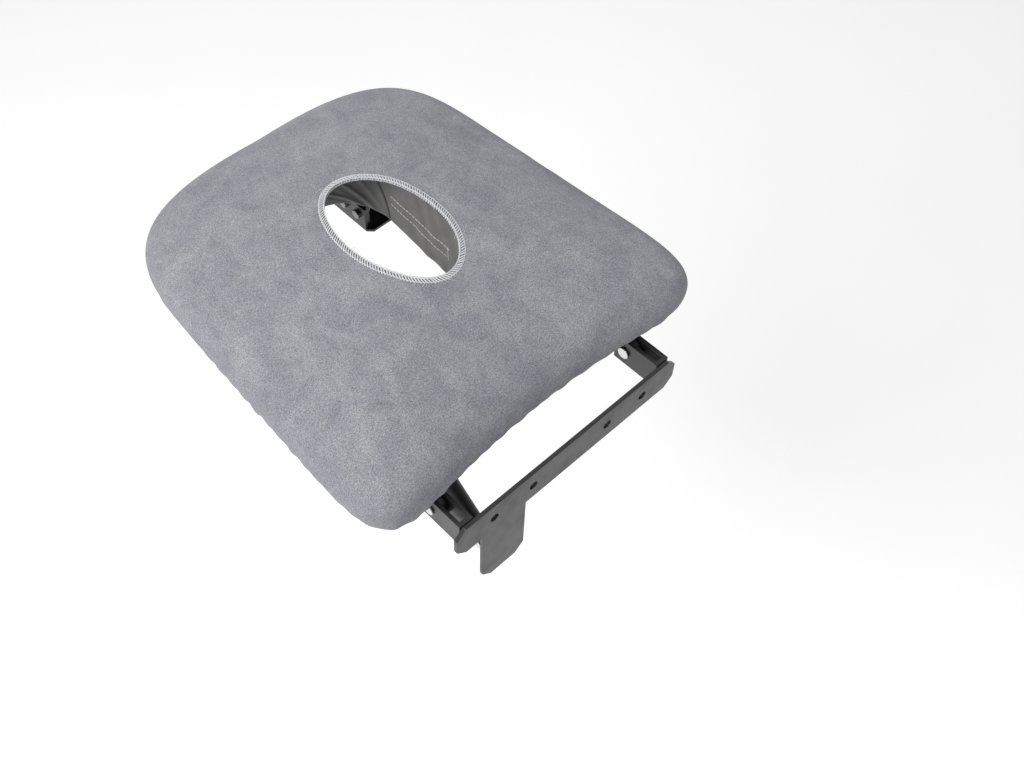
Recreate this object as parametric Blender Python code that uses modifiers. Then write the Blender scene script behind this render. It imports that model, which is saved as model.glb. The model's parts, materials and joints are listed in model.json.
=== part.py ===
"""Face cradle cushion: the head section of a treatment couch, on its tilting frame.

Run with: blender --background --python part.py

Metres, +Z up, +Y towards the head end, +X to the right of a person lying face up.
The origin is the middle of the mounting plate's back, which bolts to the couch.
The cushion, its cover and its two rails tilt together about a hinge at the -Y end.
A lockable gas spring holds the angle.

Every piece is modelled about the point under the middle of the face hole, on the
underside of the plywood board. At the end all of them are hung on one empty, which
puts that point where it belongs from the origin.
"""

import math

import bmesh
import bpy
from mathutils import Matrix, Vector

# Cushion, measured over the fitted cover.
HEAD_LENGTH = 0.206
TABLE_LENGTH = 0.2165
WIDTH = 0.363
TAPER = -0.063
SIDE_POWER_HEAD = 3.0
SIDE_POWER_TABLE = 9.0
END_POWER_HEAD = 5.8
END_POWER_TABLE = 8.0
TABLE_HOLLOW = 0.0222
WAIST_Z = 0.0232
EDGE_RADIUS = 0.030
SHOULDER_ANGLE = math.radians(68)
SHOULDER_Z = WAIST_Z + EDGE_RADIUS * math.sin(SHOULDER_ANGLE)
CROWN = 0.029
BOTTOM_RADIUS = 0.018
BOTTOM_DEPTH = WAIST_Z + 0.0045
HEM_INSET = 0.040
STATIONS = 40
DOME_SHARES = (1.0, 0.75, 0.5, 0.25, 0.0)

# Layers, from the outside in. Each starts a small gap below the one before.
GAP = 0.0003
COVER_THICK = 0.0024
VINYL_THICK = 0.0012
VINYL_DEPTH = COVER_THICK + GAP
FOAM_DEPTH = VINYL_DEPTH + VINYL_THICK + 3 * GAP
FIRM_FOAM_TOP = 0.036
BOARD_THICK = 0.012
BOARD_INSET = 0.019
FLAP_INSET = 0.036
DUST_COVER_INSET = 0.044
DUST_COVER_THICK = 0.0006
LINING_FLANGE = 0.016

# Face openings: the cover's sewn hole, and the wider lined opening below it.
HOLE_HALF_WIDTH = 0.0425
HOLE_HALF_LENGTH = 0.0721
HOLE_TURN = math.radians(3.1)
EDGING_WIDTH = 0.0065
EDGING_THICK = 0.0036
EDGING_DEPTH = 0.0006
OPENING_HALF_WIDTH = 0.0502
OPENING_WIDEST_Y = 0.070
OPENING_SLOPE = 0.069
OPENING_HEAD = 0.1257
OPENING_TABLE = 0.098
OPENING_HEAD_POWER = 2.0
OPENING_TABLE_POWER = 4.0

# Tilt frame, all steel.
RAIL_X = 0.105
RAIL_WIDTH = 0.020
RAIL_HEIGHT = 0.030
RAIL_WALL = 0.0015
RAIL_TOP = -0.0085
RAIL_START = -0.165
RAIL_END = 0.155
HINGE_Y = -0.186
HINGE_Z = RAIL_TOP - RAIL_HEIGHT / 2
ARM_THICK = 0.005
ARM_HEIGHT = 0.026
ARM_END = -0.105
BUSH_RADIUS = 0.0065
PIN_RADIUS = 0.004
RUNNING = 0.00005

# Gas spring. Its two pivots are equally far from the tilt hinge, so the cylinder and the
# rod both turn by exactly half of the tilt and stay in line.
SPRING_X = -0.078
SPRING_REACH = 0.090
SPRING_OPEN_ANGLE = math.radians(100)
CYLINDER_RADIUS = 0.009
CYLINDER_START = 0.016
CYLINDER_END = 0.092
ROD_RADIUS = 0.004
ROD_LENGTH = 0.0875

# Bracket on the couch.
PLATE_FRONT = -0.2230
PLATE_THICK = 0.004
PLATE_WIDTH = 0.264
PLATE_TOP = -0.010
STRIP_BOTTOM = -0.048
TONGUE_WIDTH = 0.050
TONGUE_BOTTOM = -0.126
PLATE_CORNER = 0.010
PLATE_MIDDLE_Z = (PLATE_TOP + STRIP_BOTTOM) / 2
COUCH_BOLT_X = (-0.090, -0.045, 0.045, 0.090)
COUCH_BOLT_HOLE = 0.0045

SMOOTH_ANGLE = math.radians(35)


def clear_scene():
    for old in list(bpy.data.objects):
        bpy.data.objects.remove(old, do_unlink=True)


def new_collection(name):
    group = bpy.data.collections.new(name)
    bpy.context.scene.collection.children.link(group)
    return group


def make_material(name, colour, roughness, metallic=0.0):
    material = bpy.data.materials.new(name)
    material.use_nodes = True
    shader = material.node_tree.nodes["Principled BSDF"]
    shader.inputs["Base Color"].default_value = (*colour, 1.0)
    shader.inputs["Roughness"].default_value = roughness
    shader.inputs["Metallic"].default_value = metallic
    return material


def add_object(name, mesh, colour, roughness, metallic=0.0):
    obj = bpy.data.objects.new(name, mesh)
    mesh.materials.append(make_material(name, colour, roughness, metallic))
    parts.objects.link(obj)
    mesh.shade_smooth()
    mesh.set_sharp_from_angle(angle=SMOOTH_ANGLE)
    return obj


# Finishes: colour, roughness, metallic.
FLEECE = ((0.335, 0.345, 0.375), 0.95, 0.0)
OVERLOCK = ((0.62, 0.63, 0.65), 0.9, 0.0)
VINYL = ((0.055, 0.053, 0.051), 0.42, 0.0)
FOAM_FIRM = ((0.62, 0.60, 0.52), 0.95, 0.0)
FOAM_SOFT = ((0.80, 0.76, 0.62), 0.95, 0.0)
PLYWOOD = ((0.56, 0.40, 0.24), 0.7, 0.0)
NONWOVEN = ((0.030, 0.030, 0.032), 0.9, 0.0)
ELASTIC = ((0.55, 0.55, 0.56), 0.85, 0.0)
BLACK_STEEL = ((0.020, 0.020, 0.021), 0.4, 0.6)
ZINC = ((0.62, 0.62, 0.60), 0.32, 1.0)
CHROME = ((0.75, 0.75, 0.76), 0.12, 1.0)
BLACK_PLASTIC = ((0.025, 0.025, 0.026), 0.5, 0.0)
NYLON = ((0.72, 0.71, 0.66), 0.5, 0.0)


# ---------------------------------------------------------------- basic solids


def box_mesh(name, low, high):
    mesh = bpy.data.meshes.new(name)
    bm = bmesh.new()
    size = Vector(high) - Vector(low)
    middle = (Vector(high) + Vector(low)) / 2
    matrix = Matrix.Translation(middle) @ Matrix.Diagonal((*size, 1.0))
    bmesh.ops.create_cube(bm, size=1.0, matrix=matrix)
    bm.to_mesh(mesh)
    bm.free()
    return mesh


def frame_along(start, direction):
    """A matrix at start whose local Z runs along direction."""
    turn = Vector(direction).to_track_quat("Z", "Y").to_matrix().to_4x4()
    return Matrix.Translation(Vector(start)) @ turn


def cylinder_mesh(name, start, end, radius, sides=16):
    mesh = bpy.data.meshes.new(name)
    bm = bmesh.new()
    axis = Vector(end) - Vector(start)
    middle = (Vector(start) + Vector(end)) / 2
    bmesh.ops.create_cone(
        bm,
        cap_ends=True,
        segments=sides,
        radius1=radius,
        radius2=radius,
        depth=axis.length,
        matrix=frame_along(middle, axis),
    )
    bm.to_mesh(mesh)
    bm.free()
    return mesh


def add_box(name, low, high, finish):
    return add_object(name, box_mesh(name, low, high), *finish)


def add_cylinder(name, start, end, radius, finish, sides=16):
    return add_object(name, cylinder_mesh(name, start, end, radius, sides), *finish)


def add_turned(name, profile, start, direction, finish, closed=False, steps=16):
    """Turn (radius, height) points, listed top to bottom down the outer side, round a line."""
    mesh = bpy.data.meshes.new(name)
    bm = bmesh.new()
    verts = [bm.verts.new((radius, 0.0, height)) for radius, height in profile]
    for first, second in zip(verts, verts[1:]):
        bm.edges.new((first, second))
    if closed:
        bm.edges.new((verts[-1], verts[0]))
    bm.to_mesh(mesh)
    bm.free()
    obj = add_object(name, mesh, *finish)
    obj.matrix_world = frame_along(start, direction)
    screw = obj.modifiers.new("Turn", "SCREW")
    screw.axis = "Z"
    screw.steps = steps
    screw.render_steps = steps
    screw.use_merge_vertices = True
    screw.merge_threshold = 0.00005
    screw.use_smooth_shade = True
    return obj


def boolean(obj, mesh, operation):
    """Cut obj with a mesh, or join the mesh to it."""
    tool = bpy.data.objects.new(obj.name + "_" + operation.lower(), mesh)
    cutters.objects.link(tool)
    tool.hide_render = True
    tool.display_type = "WIRE"
    modifier = obj.modifiers.new(operation.title(), "BOOLEAN")
    modifier.operation = operation
    modifier.object = tool


def bore(obj, start, end, radius, sides=16):
    boolean(obj, cylinder_mesh(obj.name + "_bore", start, end, radius, sides), "DIFFERENCE")


def hex_bolt(name, start, end, radius, head_width, head_height, finish):
    """A bolt whose shank runs from start to end, with its hexagon head behind start."""
    direction = (Vector(end) - Vector(start)).normalized()
    bolt = add_cylinder(name, start, end, radius, finish, sides=16)
    head_end = Vector(start) - direction * head_height
    overlap = Vector(start) + direction * 0.0002
    head = cylinder_mesh(name + "_head", head_end, overlap, head_width / math.sqrt(3), 6)
    boolean(bolt, head, "UNION")
    return bolt


def hex_nut(name, start, end, radius, width, finish):
    nut = add_cylinder(name, start, end, width / math.sqrt(3), finish, sides=6)
    direction = (Vector(end) - Vector(start)).normalized()
    margin = direction * 0.002
    bore(nut, Vector(start) - margin, Vector(end) + margin, radius)
    return nut


def plate_mesh(name, outline, thickness, matrix):
    """A flat outline in local XY, as thick as thickness along local Z."""
    curve = bpy.data.curves.new(name + "_outline", "CURVE")
    curve.dimensions = "2D"
    curve.fill_mode = "BOTH"
    curve.extrude = thickness / 2
    spline = curve.splines.new("POLY")
    spline.points.add(len(outline) - 1)
    for point, (x, y) in zip(spline.points, outline):
        point.co = (x, y, 0.0, 1.0)
    spline.use_cyclic_u = True
    guide = bpy.data.objects.new(name + "_outline", curve)
    cutters.objects.link(guide)
    bpy.context.view_layer.update()
    mesh = bpy.data.meshes.new_from_object(guide.evaluated_get(bpy.context.evaluated_depsgraph_get()))
    bpy.data.objects.remove(guide, do_unlink=True)
    bm = bmesh.new()
    bm.from_mesh(mesh)
    bmesh.ops.remove_doubles(bm, verts=bm.verts, dist=0.00001)
    bmesh.ops.recalc_face_normals(bm, faces=bm.faces)
    bm.to_mesh(mesh)
    bm.free()
    mesh.name = name
    mesh.transform(matrix)
    return mesh


def add_plate(name, outline, thickness, matrix, finish):
    return add_object(name, plate_mesh(name, outline, thickness, matrix), *finish)


def arc(centre_x, centre_y, radius, start, end, count):
    """Points on an arc, angles in degrees."""
    points = []
    for index in range(count + 1):
        angle = math.radians(start + (end - start) * index / count)
        points.append((centre_x + radius * math.cos(angle), centre_y + radius * math.sin(angle)))
    return points


def add_clevis(name, place, base_thick, reach, inside, wall, height, pin_reach, finish):
    """A folded U bracket. Local X points out of its mouth, local Y runs from ear to ear.

    The origin is on the back of the base, and the pin's bore crosses the ears at pin_reach.
    """
    half = inside / 2 + wall
    outline = [(0, -half), (reach, -half), (reach, -inside / 2), (base_thick, -inside / 2)]
    outline += [(x, -y) for x, y in reversed(outline)]
    clevis = add_plate(name, outline, height, place, finish)
    pin_start = place @ Vector((pin_reach, -half - 0.002, 0))
    pin_end = place @ Vector((pin_reach, half + 0.002, 0))
    bore(clevis, pin_start, pin_end, PIN_RADIUS + RUNNING)
    return clevis


# ---------------------------------------------------------------- cushion outline


def polar_radius(inside, angle):
    """How far from the origin a star-shaped region reaches at an angle, by bisection."""
    near, far = 0.0, 0.5
    for _ in range(40):
        middle = (near + far) / 2
        if inside(middle * math.cos(angle), middle * math.sin(angle)):
            near = middle
        else:
            far = middle
    return near


def outline_radius(angle, inset):
    """A rounded quadrilateral, wider and squarer at the table end, which is hollow."""
    half_width = WIDTH / 2 - inset

    def inside(x, y):
        half_length = (HEAD_LENGTH if y > 0 else TABLE_LENGTH) - inset
        if abs(y) >= half_length:
            return False
        across = abs(x) / (half_width * (1 + TAPER * y / half_length))
        if y > 0:
            return across**SIDE_POWER_HEAD + (y / half_length) ** END_POWER_HEAD < 1
        hollow = TABLE_HOLLOW * max(0.0, 1 - across**2)
        along = -y / (half_length - hollow)
        return across**SIDE_POWER_TABLE + along**END_POWER_TABLE < 1

    return polar_radius(inside, angle)


def opening_radius(angle, inset):
    """The lined opening: a rounded head end, and straight sides that narrow to the table end.

    A negative inset makes it larger.
    """
    widest = OPENING_HALF_WIDTH - inset

    def inside(x, y):
        if y > OPENING_WIDEST_Y:
            along = (y - OPENING_WIDEST_Y) / (OPENING_HEAD - OPENING_WIDEST_Y - inset)
            return (abs(x) / widest) ** OPENING_HEAD_POWER + along**OPENING_HEAD_POWER < 1
        half_width = widest - OPENING_SLOPE * (OPENING_WIDEST_Y - y)
        if half_width <= 0:
            return False
        across = abs(x) / half_width
        along = max(0.0, -y) / (OPENING_TABLE - inset)
        return across**OPENING_TABLE_POWER + along**OPENING_TABLE_POWER < 1

    return polar_radius(inside, angle)


def hole_radius(angle, grow):
    """The cover's sewn hole, an ellipse that sits slightly askew, grown all round."""
    a = HOLE_HALF_WIDTH + grow
    b = HOLE_HALF_LENGTH + grow
    turned = angle - HOLE_TURN
    return a * b / math.hypot(b * math.cos(turned), a * math.sin(turned))


ANGLES = [2 * math.pi * (index + 0.5) / STATIONS for index in range(STATIONS)]


def ring_from(radius_at, height_at):
    """A closed ring of points from a radius and a height for each station's angle."""
    ring = []
    for angle in ANGLES:
        radius = radius_at(angle)
        ring.append((radius * math.cos(angle), radius * math.sin(angle), height_at(angle, radius)))
    return ring


def outline_ring(inset, height):
    return ring_from(lambda angle: outline_radius(angle, inset), lambda angle, radius: height)


def opening_ring(inset, height):
    return ring_from(lambda angle: opening_radius(angle, inset), lambda angle, radius: height)


def dome_height(angle, radius, depth):
    """The crowned top, at a depth below the cover's outer face."""
    shoulder = outline_radius(angle, EDGE_RADIUS * (1 - math.cos(SHOULDER_ANGLE)))
    return SHOULDER_Z + CROWN * (1 - (radius / shoulder) ** 2) - depth


def dome_ring(inner_radius_at, share, depth):
    """A ring on the crowned top, a share of the way from an inner edge to the shoulder."""
    inset = EDGE_RADIUS - (EDGE_RADIUS - depth) * math.cos(SHOULDER_ANGLE)

    def radius_at(angle):
        inner = inner_radius_at(angle)
        return inner + (outline_radius(angle, inset) - inner) * share

    return ring_from(radius_at, lambda angle, radius: dome_height(angle, radius, depth))


def edge_ring(angle_up, depth):
    """A ring on the rounded upper edge: 0 at the waist."""
    radius = EDGE_RADIUS - depth
    return outline_ring(EDGE_RADIUS - radius * math.cos(angle_up), WAIST_Z + radius * math.sin(angle_up))


def bottom_ring(angle_down, depth):
    """A ring on the lower edge, which pulls in under the cushion: 0 at the waist."""
    inset = BOTTOM_RADIUS - (BOTTOM_RADIUS - depth) * math.cos(angle_down)
    return outline_ring(inset, WAIST_Z - (BOTTOM_DEPTH - depth) * math.sin(angle_down))


def skin_rings(depth, flap_inset, inner_radius_at):
    """One face of a skin that runs from under the cushion, round the edge, to the hole."""
    quarter = math.pi / 2
    rings = [outline_ring(flap_inset, WAIST_Z - BOTTOM_DEPTH + depth)]
    rings += [bottom_ring(quarter * share, depth) for share in (1.0, 0.66, 0.33)]
    rings += [edge_ring(SHOULDER_ANGLE * share, depth) for share in (0.0, 0.33, 0.66)]
    rings += [dome_ring(inner_radius_at, share, depth) for share in DOME_SHARES]
    return rings


def add_ring_loft(name, rings, finish):
    """Loft a stack of unlike closed rings, and the last ring back to the first."""
    mesh = bpy.data.meshes.new(name)
    bm = bmesh.new()
    loops = [[bm.verts.new(point) for point in ring] for ring in rings]
    for number, loop in enumerate(loops):
        following = loops[(number + 1) % len(loops)]
        for index in range(STATIONS):
            after = (index + 1) % STATIONS
            bm.faces.new((loop[index], loop[after], following[after], following[index]))
    bmesh.ops.recalc_face_normals(bm, faces=bm.faces)
    bm.to_mesh(mesh)
    bm.free()
    return add_object(name, mesh, *finish)


# ---------------------------------------------------------------- cushion pieces


def make_base_board():
    wall = VINYL_THICK + 2 * GAP
    rings = [
        opening_ring(-wall, 0.0),
        outline_ring(BOARD_INSET, 0.0),
        outline_ring(BOARD_INSET, BOARD_THICK),
        opening_ring(-wall, BOARD_THICK),
    ]
    return add_ring_loft("base_board", rings, PLYWOOD)


def foam_side_inset(height):
    """How far in the foam's side is below the waist."""
    down = math.asin(min(1.0, (WAIST_Z - height) / (BOTTOM_DEPTH - FOAM_DEPTH)))
    return BOTTOM_RADIUS - (BOTTOM_RADIUS - FOAM_DEPTH) * math.cos(down)


def foam_edge_angle(height):
    """Where a height falls on the foam's rounded upper edge."""
    return math.asin((height - WAIST_Z) / (EDGE_RADIUS - FOAM_DEPTH))


def make_foam_base():
    wall = VINYL_THICK + 2 * GAP
    low = BOARD_THICK + GAP
    rings = [
        opening_ring(-wall, low),
        outline_ring(foam_side_inset(low), low),
        edge_ring(0.0, FOAM_DEPTH),
        edge_ring(foam_edge_angle(FIRM_FOAM_TOP), FOAM_DEPTH),
        opening_ring(-wall, FIRM_FOAM_TOP),
    ]
    return add_ring_loft("foam_base", rings, FOAM_FIRM)


def make_foam_top():
    wall = VINYL_THICK + 2 * GAP
    low = FIRM_FOAM_TOP + GAP

    def inner(angle):
        return opening_radius(angle, -wall)

    rings = [
        opening_ring(-wall, low),
        edge_ring(foam_edge_angle(low), FOAM_DEPTH),
        edge_ring(SHOULDER_ANGLE * 0.66, FOAM_DEPTH),
    ]
    rings += [dome_ring(inner, share, FOAM_DEPTH) for share in DOME_SHARES]
    return add_ring_loft("foam_top", rings, FOAM_SOFT)


def make_vinyl_skin():
    def inner(angle):
        return opening_radius(angle, -VINYL_THICK - 2 * GAP)

    outer_face = skin_rings(VINYL_DEPTH, FLAP_INSET, inner)
    inner_face = skin_rings(VINYL_DEPTH + VINYL_THICK, FLAP_INSET, inner)
    return add_ring_loft("vinyl_skin", outer_face + inner_face[::-1], VINYL)


def make_face_hole_lining():
    """The tube of vinyl that lines the opening, with a flange stapled under the board."""
    low = -VINYL_THICK - GAP
    wide = -LINING_FLANGE

    def outer(angle):
        return opening_radius(angle, -VINYL_THICK)

    def inner(angle):
        return opening_radius(angle, 0.0)

    rings = [
        opening_ring(wide, low),
        opening_ring(0.0, low),
        opening_ring(0.0, FIRM_FOAM_TOP),
        dome_ring(inner, 0.0, VINYL_DEPTH + GAP),
        dome_ring(outer, 0.0, VINYL_DEPTH + GAP),
        opening_ring(-VINYL_THICK, FIRM_FOAM_TOP),
        opening_ring(-VINYL_THICK, -GAP),
        opening_ring(wide, -GAP),
    ]
    return add_ring_loft("face_hole_lining", rings, VINYL)


def make_dust_cover():
    """The non-woven sheet that hides the stapled edges under the board."""
    top = -VINYL_THICK - 2 * GAP
    wide = -LINING_FLANGE * 0.4
    rings = [
        opening_ring(wide, top - DUST_COVER_THICK),
        outline_ring(DUST_COVER_INSET, top - DUST_COVER_THICK),
        outline_ring(DUST_COVER_INSET, top),
        opening_ring(wide, top),
    ]
    return add_ring_loft("dust_cover", rings, NONWOVEN)


def make_fitted_cover():
    def rim(angle):
        return hole_radius(angle, EDGING_WIDTH)

    outer_face = skin_rings(0.0, HEM_INSET - 0.0024, rim)
    inner_face = skin_rings(COVER_THICK, HEM_INSET - 0.0024, rim)
    return add_ring_loft("fitted_cover", outer_face + inner_face[::-1], FLEECE)


def section_rings(radius_at, height_at, half_width, half_height, count):
    """Rings round an oval section that follows a closed path."""
    rings = []
    for index in range(count):
        around = 2 * math.pi * (index + 0.5) / count
        out = half_width * math.cos(around)
        up = half_height * math.sin(around)
        rings.append(
            ring_from(
                lambda angle, out=out: radius_at(angle, out),
                lambda angle, radius, up=up: height_at(angle, radius) + up,
            )
        )
    return rings


def make_hole_edging():
    """The overlocked edge of the cover's hole."""
    middle = EDGING_WIDTH / 2
    rings = section_rings(
        lambda angle, out: hole_radius(angle, middle + out),
        lambda angle, radius: dome_height(angle, radius, EDGING_DEPTH),
        middle - GAP,
        EDGING_THICK / 2,
        6,
    )
    return add_ring_loft("hole_edging", rings, OVERLOCK)


def make_hem_elastic():
    """The elastic cord that draws the cover's hem in under the cushion."""
    half = 0.002
    rings = section_rings(
        lambda angle, out: outline_radius(angle, HEM_INSET + half - out),
        lambda angle, radius: WAIST_Z - BOTTOM_DEPTH + COVER_THICK / 2,
        half - GAP,
        half - GAP,
        6,
    )
    return add_ring_loft("hem_elastic", rings, ELASTIC)


# ---------------------------------------------------------------- cushion fasteners

BOARD_BOLT_RADIUS = 0.003
T_NUT_RADIUS = 0.0042
FRONT_BOLT = (RAIL_X, -0.090)
HEAD_BOLT = (0.062, 0.1330)
UNDERSIDE = -VINYL_THICK - 2 * GAP - DUST_COVER_THICK


def through_board(obj, x, y, radius):
    bore(obj, (x, y, -0.020), (x, y, BOARD_THICK + 0.004), radius)


def make_t_nut(name, x, y):
    """A flanged steel sleeve let into the board from above."""
    top = BOARD_THICK - 0.0008
    inner = BOARD_BOLT_RADIUS + RUNNING
    profile = [(inner, top), (0.009, top), (0.009, top - 0.0012), (T_NUT_RADIUS, top - 0.0012)]
    profile += [(T_NUT_RADIUS, 0.001), (inner, 0.001)]
    return add_turned(name, profile, (x, y, 0.0), (0, 0, 1), ZINC, closed=True)


def make_board_fixings(board, dust_cover, side, sign):
    """The T-nuts and bolts that hold the board to the frame."""
    made = []
    for end, (x, y) in (("front", FRONT_BOLT), ("head", HEAD_BOLT)):
        x = sign * x
        through_board(board, x, y, T_NUT_RADIUS + GAP)
        flange_low = BOARD_THICK - 0.0008 - 0.0012 - GAP
        bore(board, (x, y, flange_low), (x, y, BOARD_THICK + 0.004), 0.009 + GAP)
        through_board(dust_cover, x, y, BOARD_BOLT_RADIUS + GAP)
        made.append(make_t_nut(f"t_nut_{end}_{side}", x, y))
        low = RAIL_TOP - RAIL_HEIGHT if end == "front" else UNDERSIDE - GAP - ANGLE_THICK
        start = (x, y, low - GAP)
        end_point = (x, y, BOARD_THICK - 0.002)
        name = f"board_bolt_{end}_{side}"
        made.append(hex_bolt(name, start, end_point, BOARD_BOLT_RADIUS, 0.010, 0.004, ZINC))
    return made


def make_spacer(side, sign):
    """A plastic ring that holds the rail clear of the cover's hem."""
    x, y = sign * FRONT_BOLT[0], FRONT_BOLT[1]
    high = UNDERSIDE - GAP
    low = RAIL_TOP + GAP
    hole = BOARD_BOLT_RADIUS + GAP
    profile = [(hole, high), (0.010, high), (0.010, low), (hole, low)]
    return add_turned(f"spacer_{side}", profile, (x, y, 0.0), (0, 0, 1), BLACK_PLASTIC, closed=True)


# ---------------------------------------------------------------- tilt frame

PLATE_LEVEL = RAIL_TOP - RAIL_HEIGHT - 0.0005
GUSSET_THICK = 0.003
GUSSET_INNER = 0.0455
GUSSET_START = 0.0955
GUSSET_END = 0.158
GUSSET_CHAMFER = 0.0055
FLANGE_TOP = -0.013
ANGLE_THICK = 0.003
SIDE_BOLT_Z = -0.024
SIDE_BOLT_Y = (0.112, 0.132)
ANGLE_DROP = 0.009
ANGLE_LENGTH = 0.040
ANGLE_REACH = 0.072
SIDE_BOLT_RADIUS = 0.003
SIDE_BOLT_WIDTH = 0.0088
SIDE_BOLT_HEAD = 0.0034
SIDE_NUT_HEIGHT = 0.005


def make_rail(side, sign):
    half = RAIL_WIDTH / 2
    x = sign * RAIL_X
    low = RAIL_TOP - RAIL_HEIGHT
    rail = add_box(f"rail_{side}", (x - half, RAIL_START, low), (x + half, RAIL_END, RAIL_TOP), BLACK_STEEL)
    inner = half - RAIL_WALL
    hollow = box_mesh(
        "rail_hollow",
        (x - inner, RAIL_START - 0.01, low + RAIL_WALL),
        (x + inner, RAIL_END + 0.01, RAIL_TOP - RAIL_WALL),
    )
    boolean(rail, hollow, "DIFFERENCE")
    bolt_y = FRONT_BOLT[1]
    bore(rail, (x, bolt_y, low - 0.01), (x, bolt_y, RAIL_TOP + 0.01), BOARD_BOLT_RADIUS + GAP)
    return rail


def make_rail_plug(side, sign):
    """The plastic plug in the rail's head end."""
    x = sign * RAIL_X
    outer = RAIL_WIDTH / 2
    inner = outer - RAIL_WALL - GAP
    low = RAIL_TOP - RAIL_HEIGHT
    plug = add_box(
        f"rail_plug_{side}",
        (x - outer, RAIL_END + GAP, low),
        (x + outer, RAIL_END + 0.004, RAIL_TOP),
        BLACK_PLASTIC,
    )
    tongue = box_mesh(
        "rail_plug_tongue",
        (x - inner, RAIL_END - 0.014, low + RAIL_WALL + GAP),
        (x + inner, RAIL_END + 0.001, RAIL_TOP - RAIL_WALL - GAP),
    )
    boolean(plug, tongue, "UNION")
    return plug


def make_cross_tube():
    """The round tube that joins the two rails behind the opening."""
    reach = RAIL_X - RAIL_WIDTH / 2 - GAP
    outer, inner = 0.010, 0.0085
    profile = [(inner, reach), (outer, reach), (outer, -reach), (inner, -reach)]
    place = (0.0, -0.150, HINGE_Z)
    return add_turned("cross_tube", profile, place, (1, 0, 0), BLACK_STEEL, closed=True)


def make_gusset(side, sign):
    """The head-end plate: flat under the rail, with its inner edge folded up."""
    outer = RAIL_X + RAIL_WIDTH / 2
    low = PLATE_LEVEL - GUSSET_THICK
    outline = [
        (GUSSET_INNER + GUSSET_CHAMFER, GUSSET_START),
        (outer, GUSSET_START),
        (outer, GUSSET_END),
        (GUSSET_INNER, GUSSET_END),
        (GUSSET_INNER, GUSSET_START + GUSSET_CHAMFER),
    ]
    outline = [(sign * x, y) for x, y in outline]
    place = Matrix.Translation((0, 0, low + GUSSET_THICK / 2))
    gusset = add_plate(f"gusset_{side}", outline, GUSSET_THICK, place, BLACK_STEEL)
    edges = sorted((sign * GUSSET_INNER, sign * (GUSSET_INNER + GUSSET_THICK)))
    flange = box_mesh(
        "gusset_flange",
        (edges[0], GUSSET_START + GUSSET_CHAMFER + 0.0005, low + 0.0005),
        (edges[1], GUSSET_END - 0.0005, FLANGE_TOP),
    )
    boolean(gusset, flange, "UNION")
    for y in SIDE_BOLT_Y:
        start = (sign * (GUSSET_INNER - 0.01), y, SIDE_BOLT_Z)
        end = (sign * (GUSSET_INNER + 0.01), y, SIDE_BOLT_Z)
        bore(gusset, start, end, SIDE_BOLT_RADIUS + GAP)
    return gusset


def make_board_angle(side, sign):
    """The angle under the board that the gusset's flange is bolted to."""
    near = GUSSET_INNER + GUSSET_THICK + GAP
    high = UNDERSIDE - GAP
    outline = [
        (near, high),
        (near, SIDE_BOLT_Z - ANGLE_DROP),
        (near + ANGLE_THICK, SIDE_BOLT_Z - ANGLE_DROP),
        (near + ANGLE_THICK, high - ANGLE_THICK),
        (ANGLE_REACH, high - ANGLE_THICK),
        (ANGLE_REACH, high),
    ]
    outline = [(sign * x, z) for x, z in outline]
    middle_y = sum(SIDE_BOLT_Y) / 2
    upright = Matrix.Rotation(math.radians(90), 4, "X")
    place = Matrix.Translation((0, middle_y, 0)) @ upright
    angle = add_plate(f"board_angle_{side}", outline, ANGLE_LENGTH, place, BLACK_STEEL)
    for y in SIDE_BOLT_Y:
        start = (sign * (near - 0.01), y, SIDE_BOLT_Z)
        end = (sign * (near + 0.01), y, SIDE_BOLT_Z)
        bore(angle, start, end, SIDE_BOLT_RADIUS + GAP)
    x, y = sign * HEAD_BOLT[0], HEAD_BOLT[1]
    bore(angle, (x, y, high + 0.005), (x, y, high - 0.010), BOARD_BOLT_RADIUS + GAP)
    return angle


def make_side_bolts(side, sign):
    """Two bolts across the gusset's flange and the angle, heads towards the opening."""
    made = []
    nut_start = GUSSET_INNER + GUSSET_THICK + ANGLE_THICK + 2 * GAP
    for number, y in enumerate(SIDE_BOLT_Y, start=1):
        start = (sign * (GUSSET_INNER - GAP), y, SIDE_BOLT_Z)
        end = (sign * (nut_start + SIDE_NUT_HEIGHT + 0.0025), y, SIDE_BOLT_Z)
        name = f"side_bolt_{side}_{number}"
        made.append(hex_bolt(name, start, end, SIDE_BOLT_RADIUS, SIDE_BOLT_WIDTH, SIDE_BOLT_HEAD, ZINC))
        low = (sign * nut_start, y, SIDE_BOLT_Z)
        high = (sign * (nut_start + SIDE_NUT_HEIGHT), y, SIDE_BOLT_Z)
        name = f"side_nut_{side}_{number}"
        made.append(hex_nut(name, low, high, SIDE_BOLT_RADIUS + RUNNING, SIDE_BOLT_WIDTH, ZINC))
    return made


def make_hinge_arm(side, sign):
    """The flat arm on the outer side of a rail that reaches back to the tilt hinge."""
    x = sign * (RAIL_X + RAIL_WIDTH / 2 + GAP + ARM_THICK / 2)
    half = ARM_HEIGHT / 2
    outline = arc(HINGE_Y, HINGE_Z, half, 270, 90, 10)
    outline += [(ARM_END, HINGE_Z + half), (ARM_END, HINGE_Z - half)]
    upright = Matrix(((0, 0, 1, x), (1, 0, 0, 0), (0, 1, 0, 0), (0, 0, 0, 1)))
    arm = add_plate(f"hinge_arm_{side}", outline, ARM_THICK, upright, BLACK_STEEL)
    bore(arm, (x - 0.01, HINGE_Y, HINGE_Z), (x + 0.01, HINGE_Y, HINGE_Z), BUSH_RADIUS + RUNNING, 24)
    return arm


EAR_GAP = 0.0010
EAR_WALL = 0.004


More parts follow.
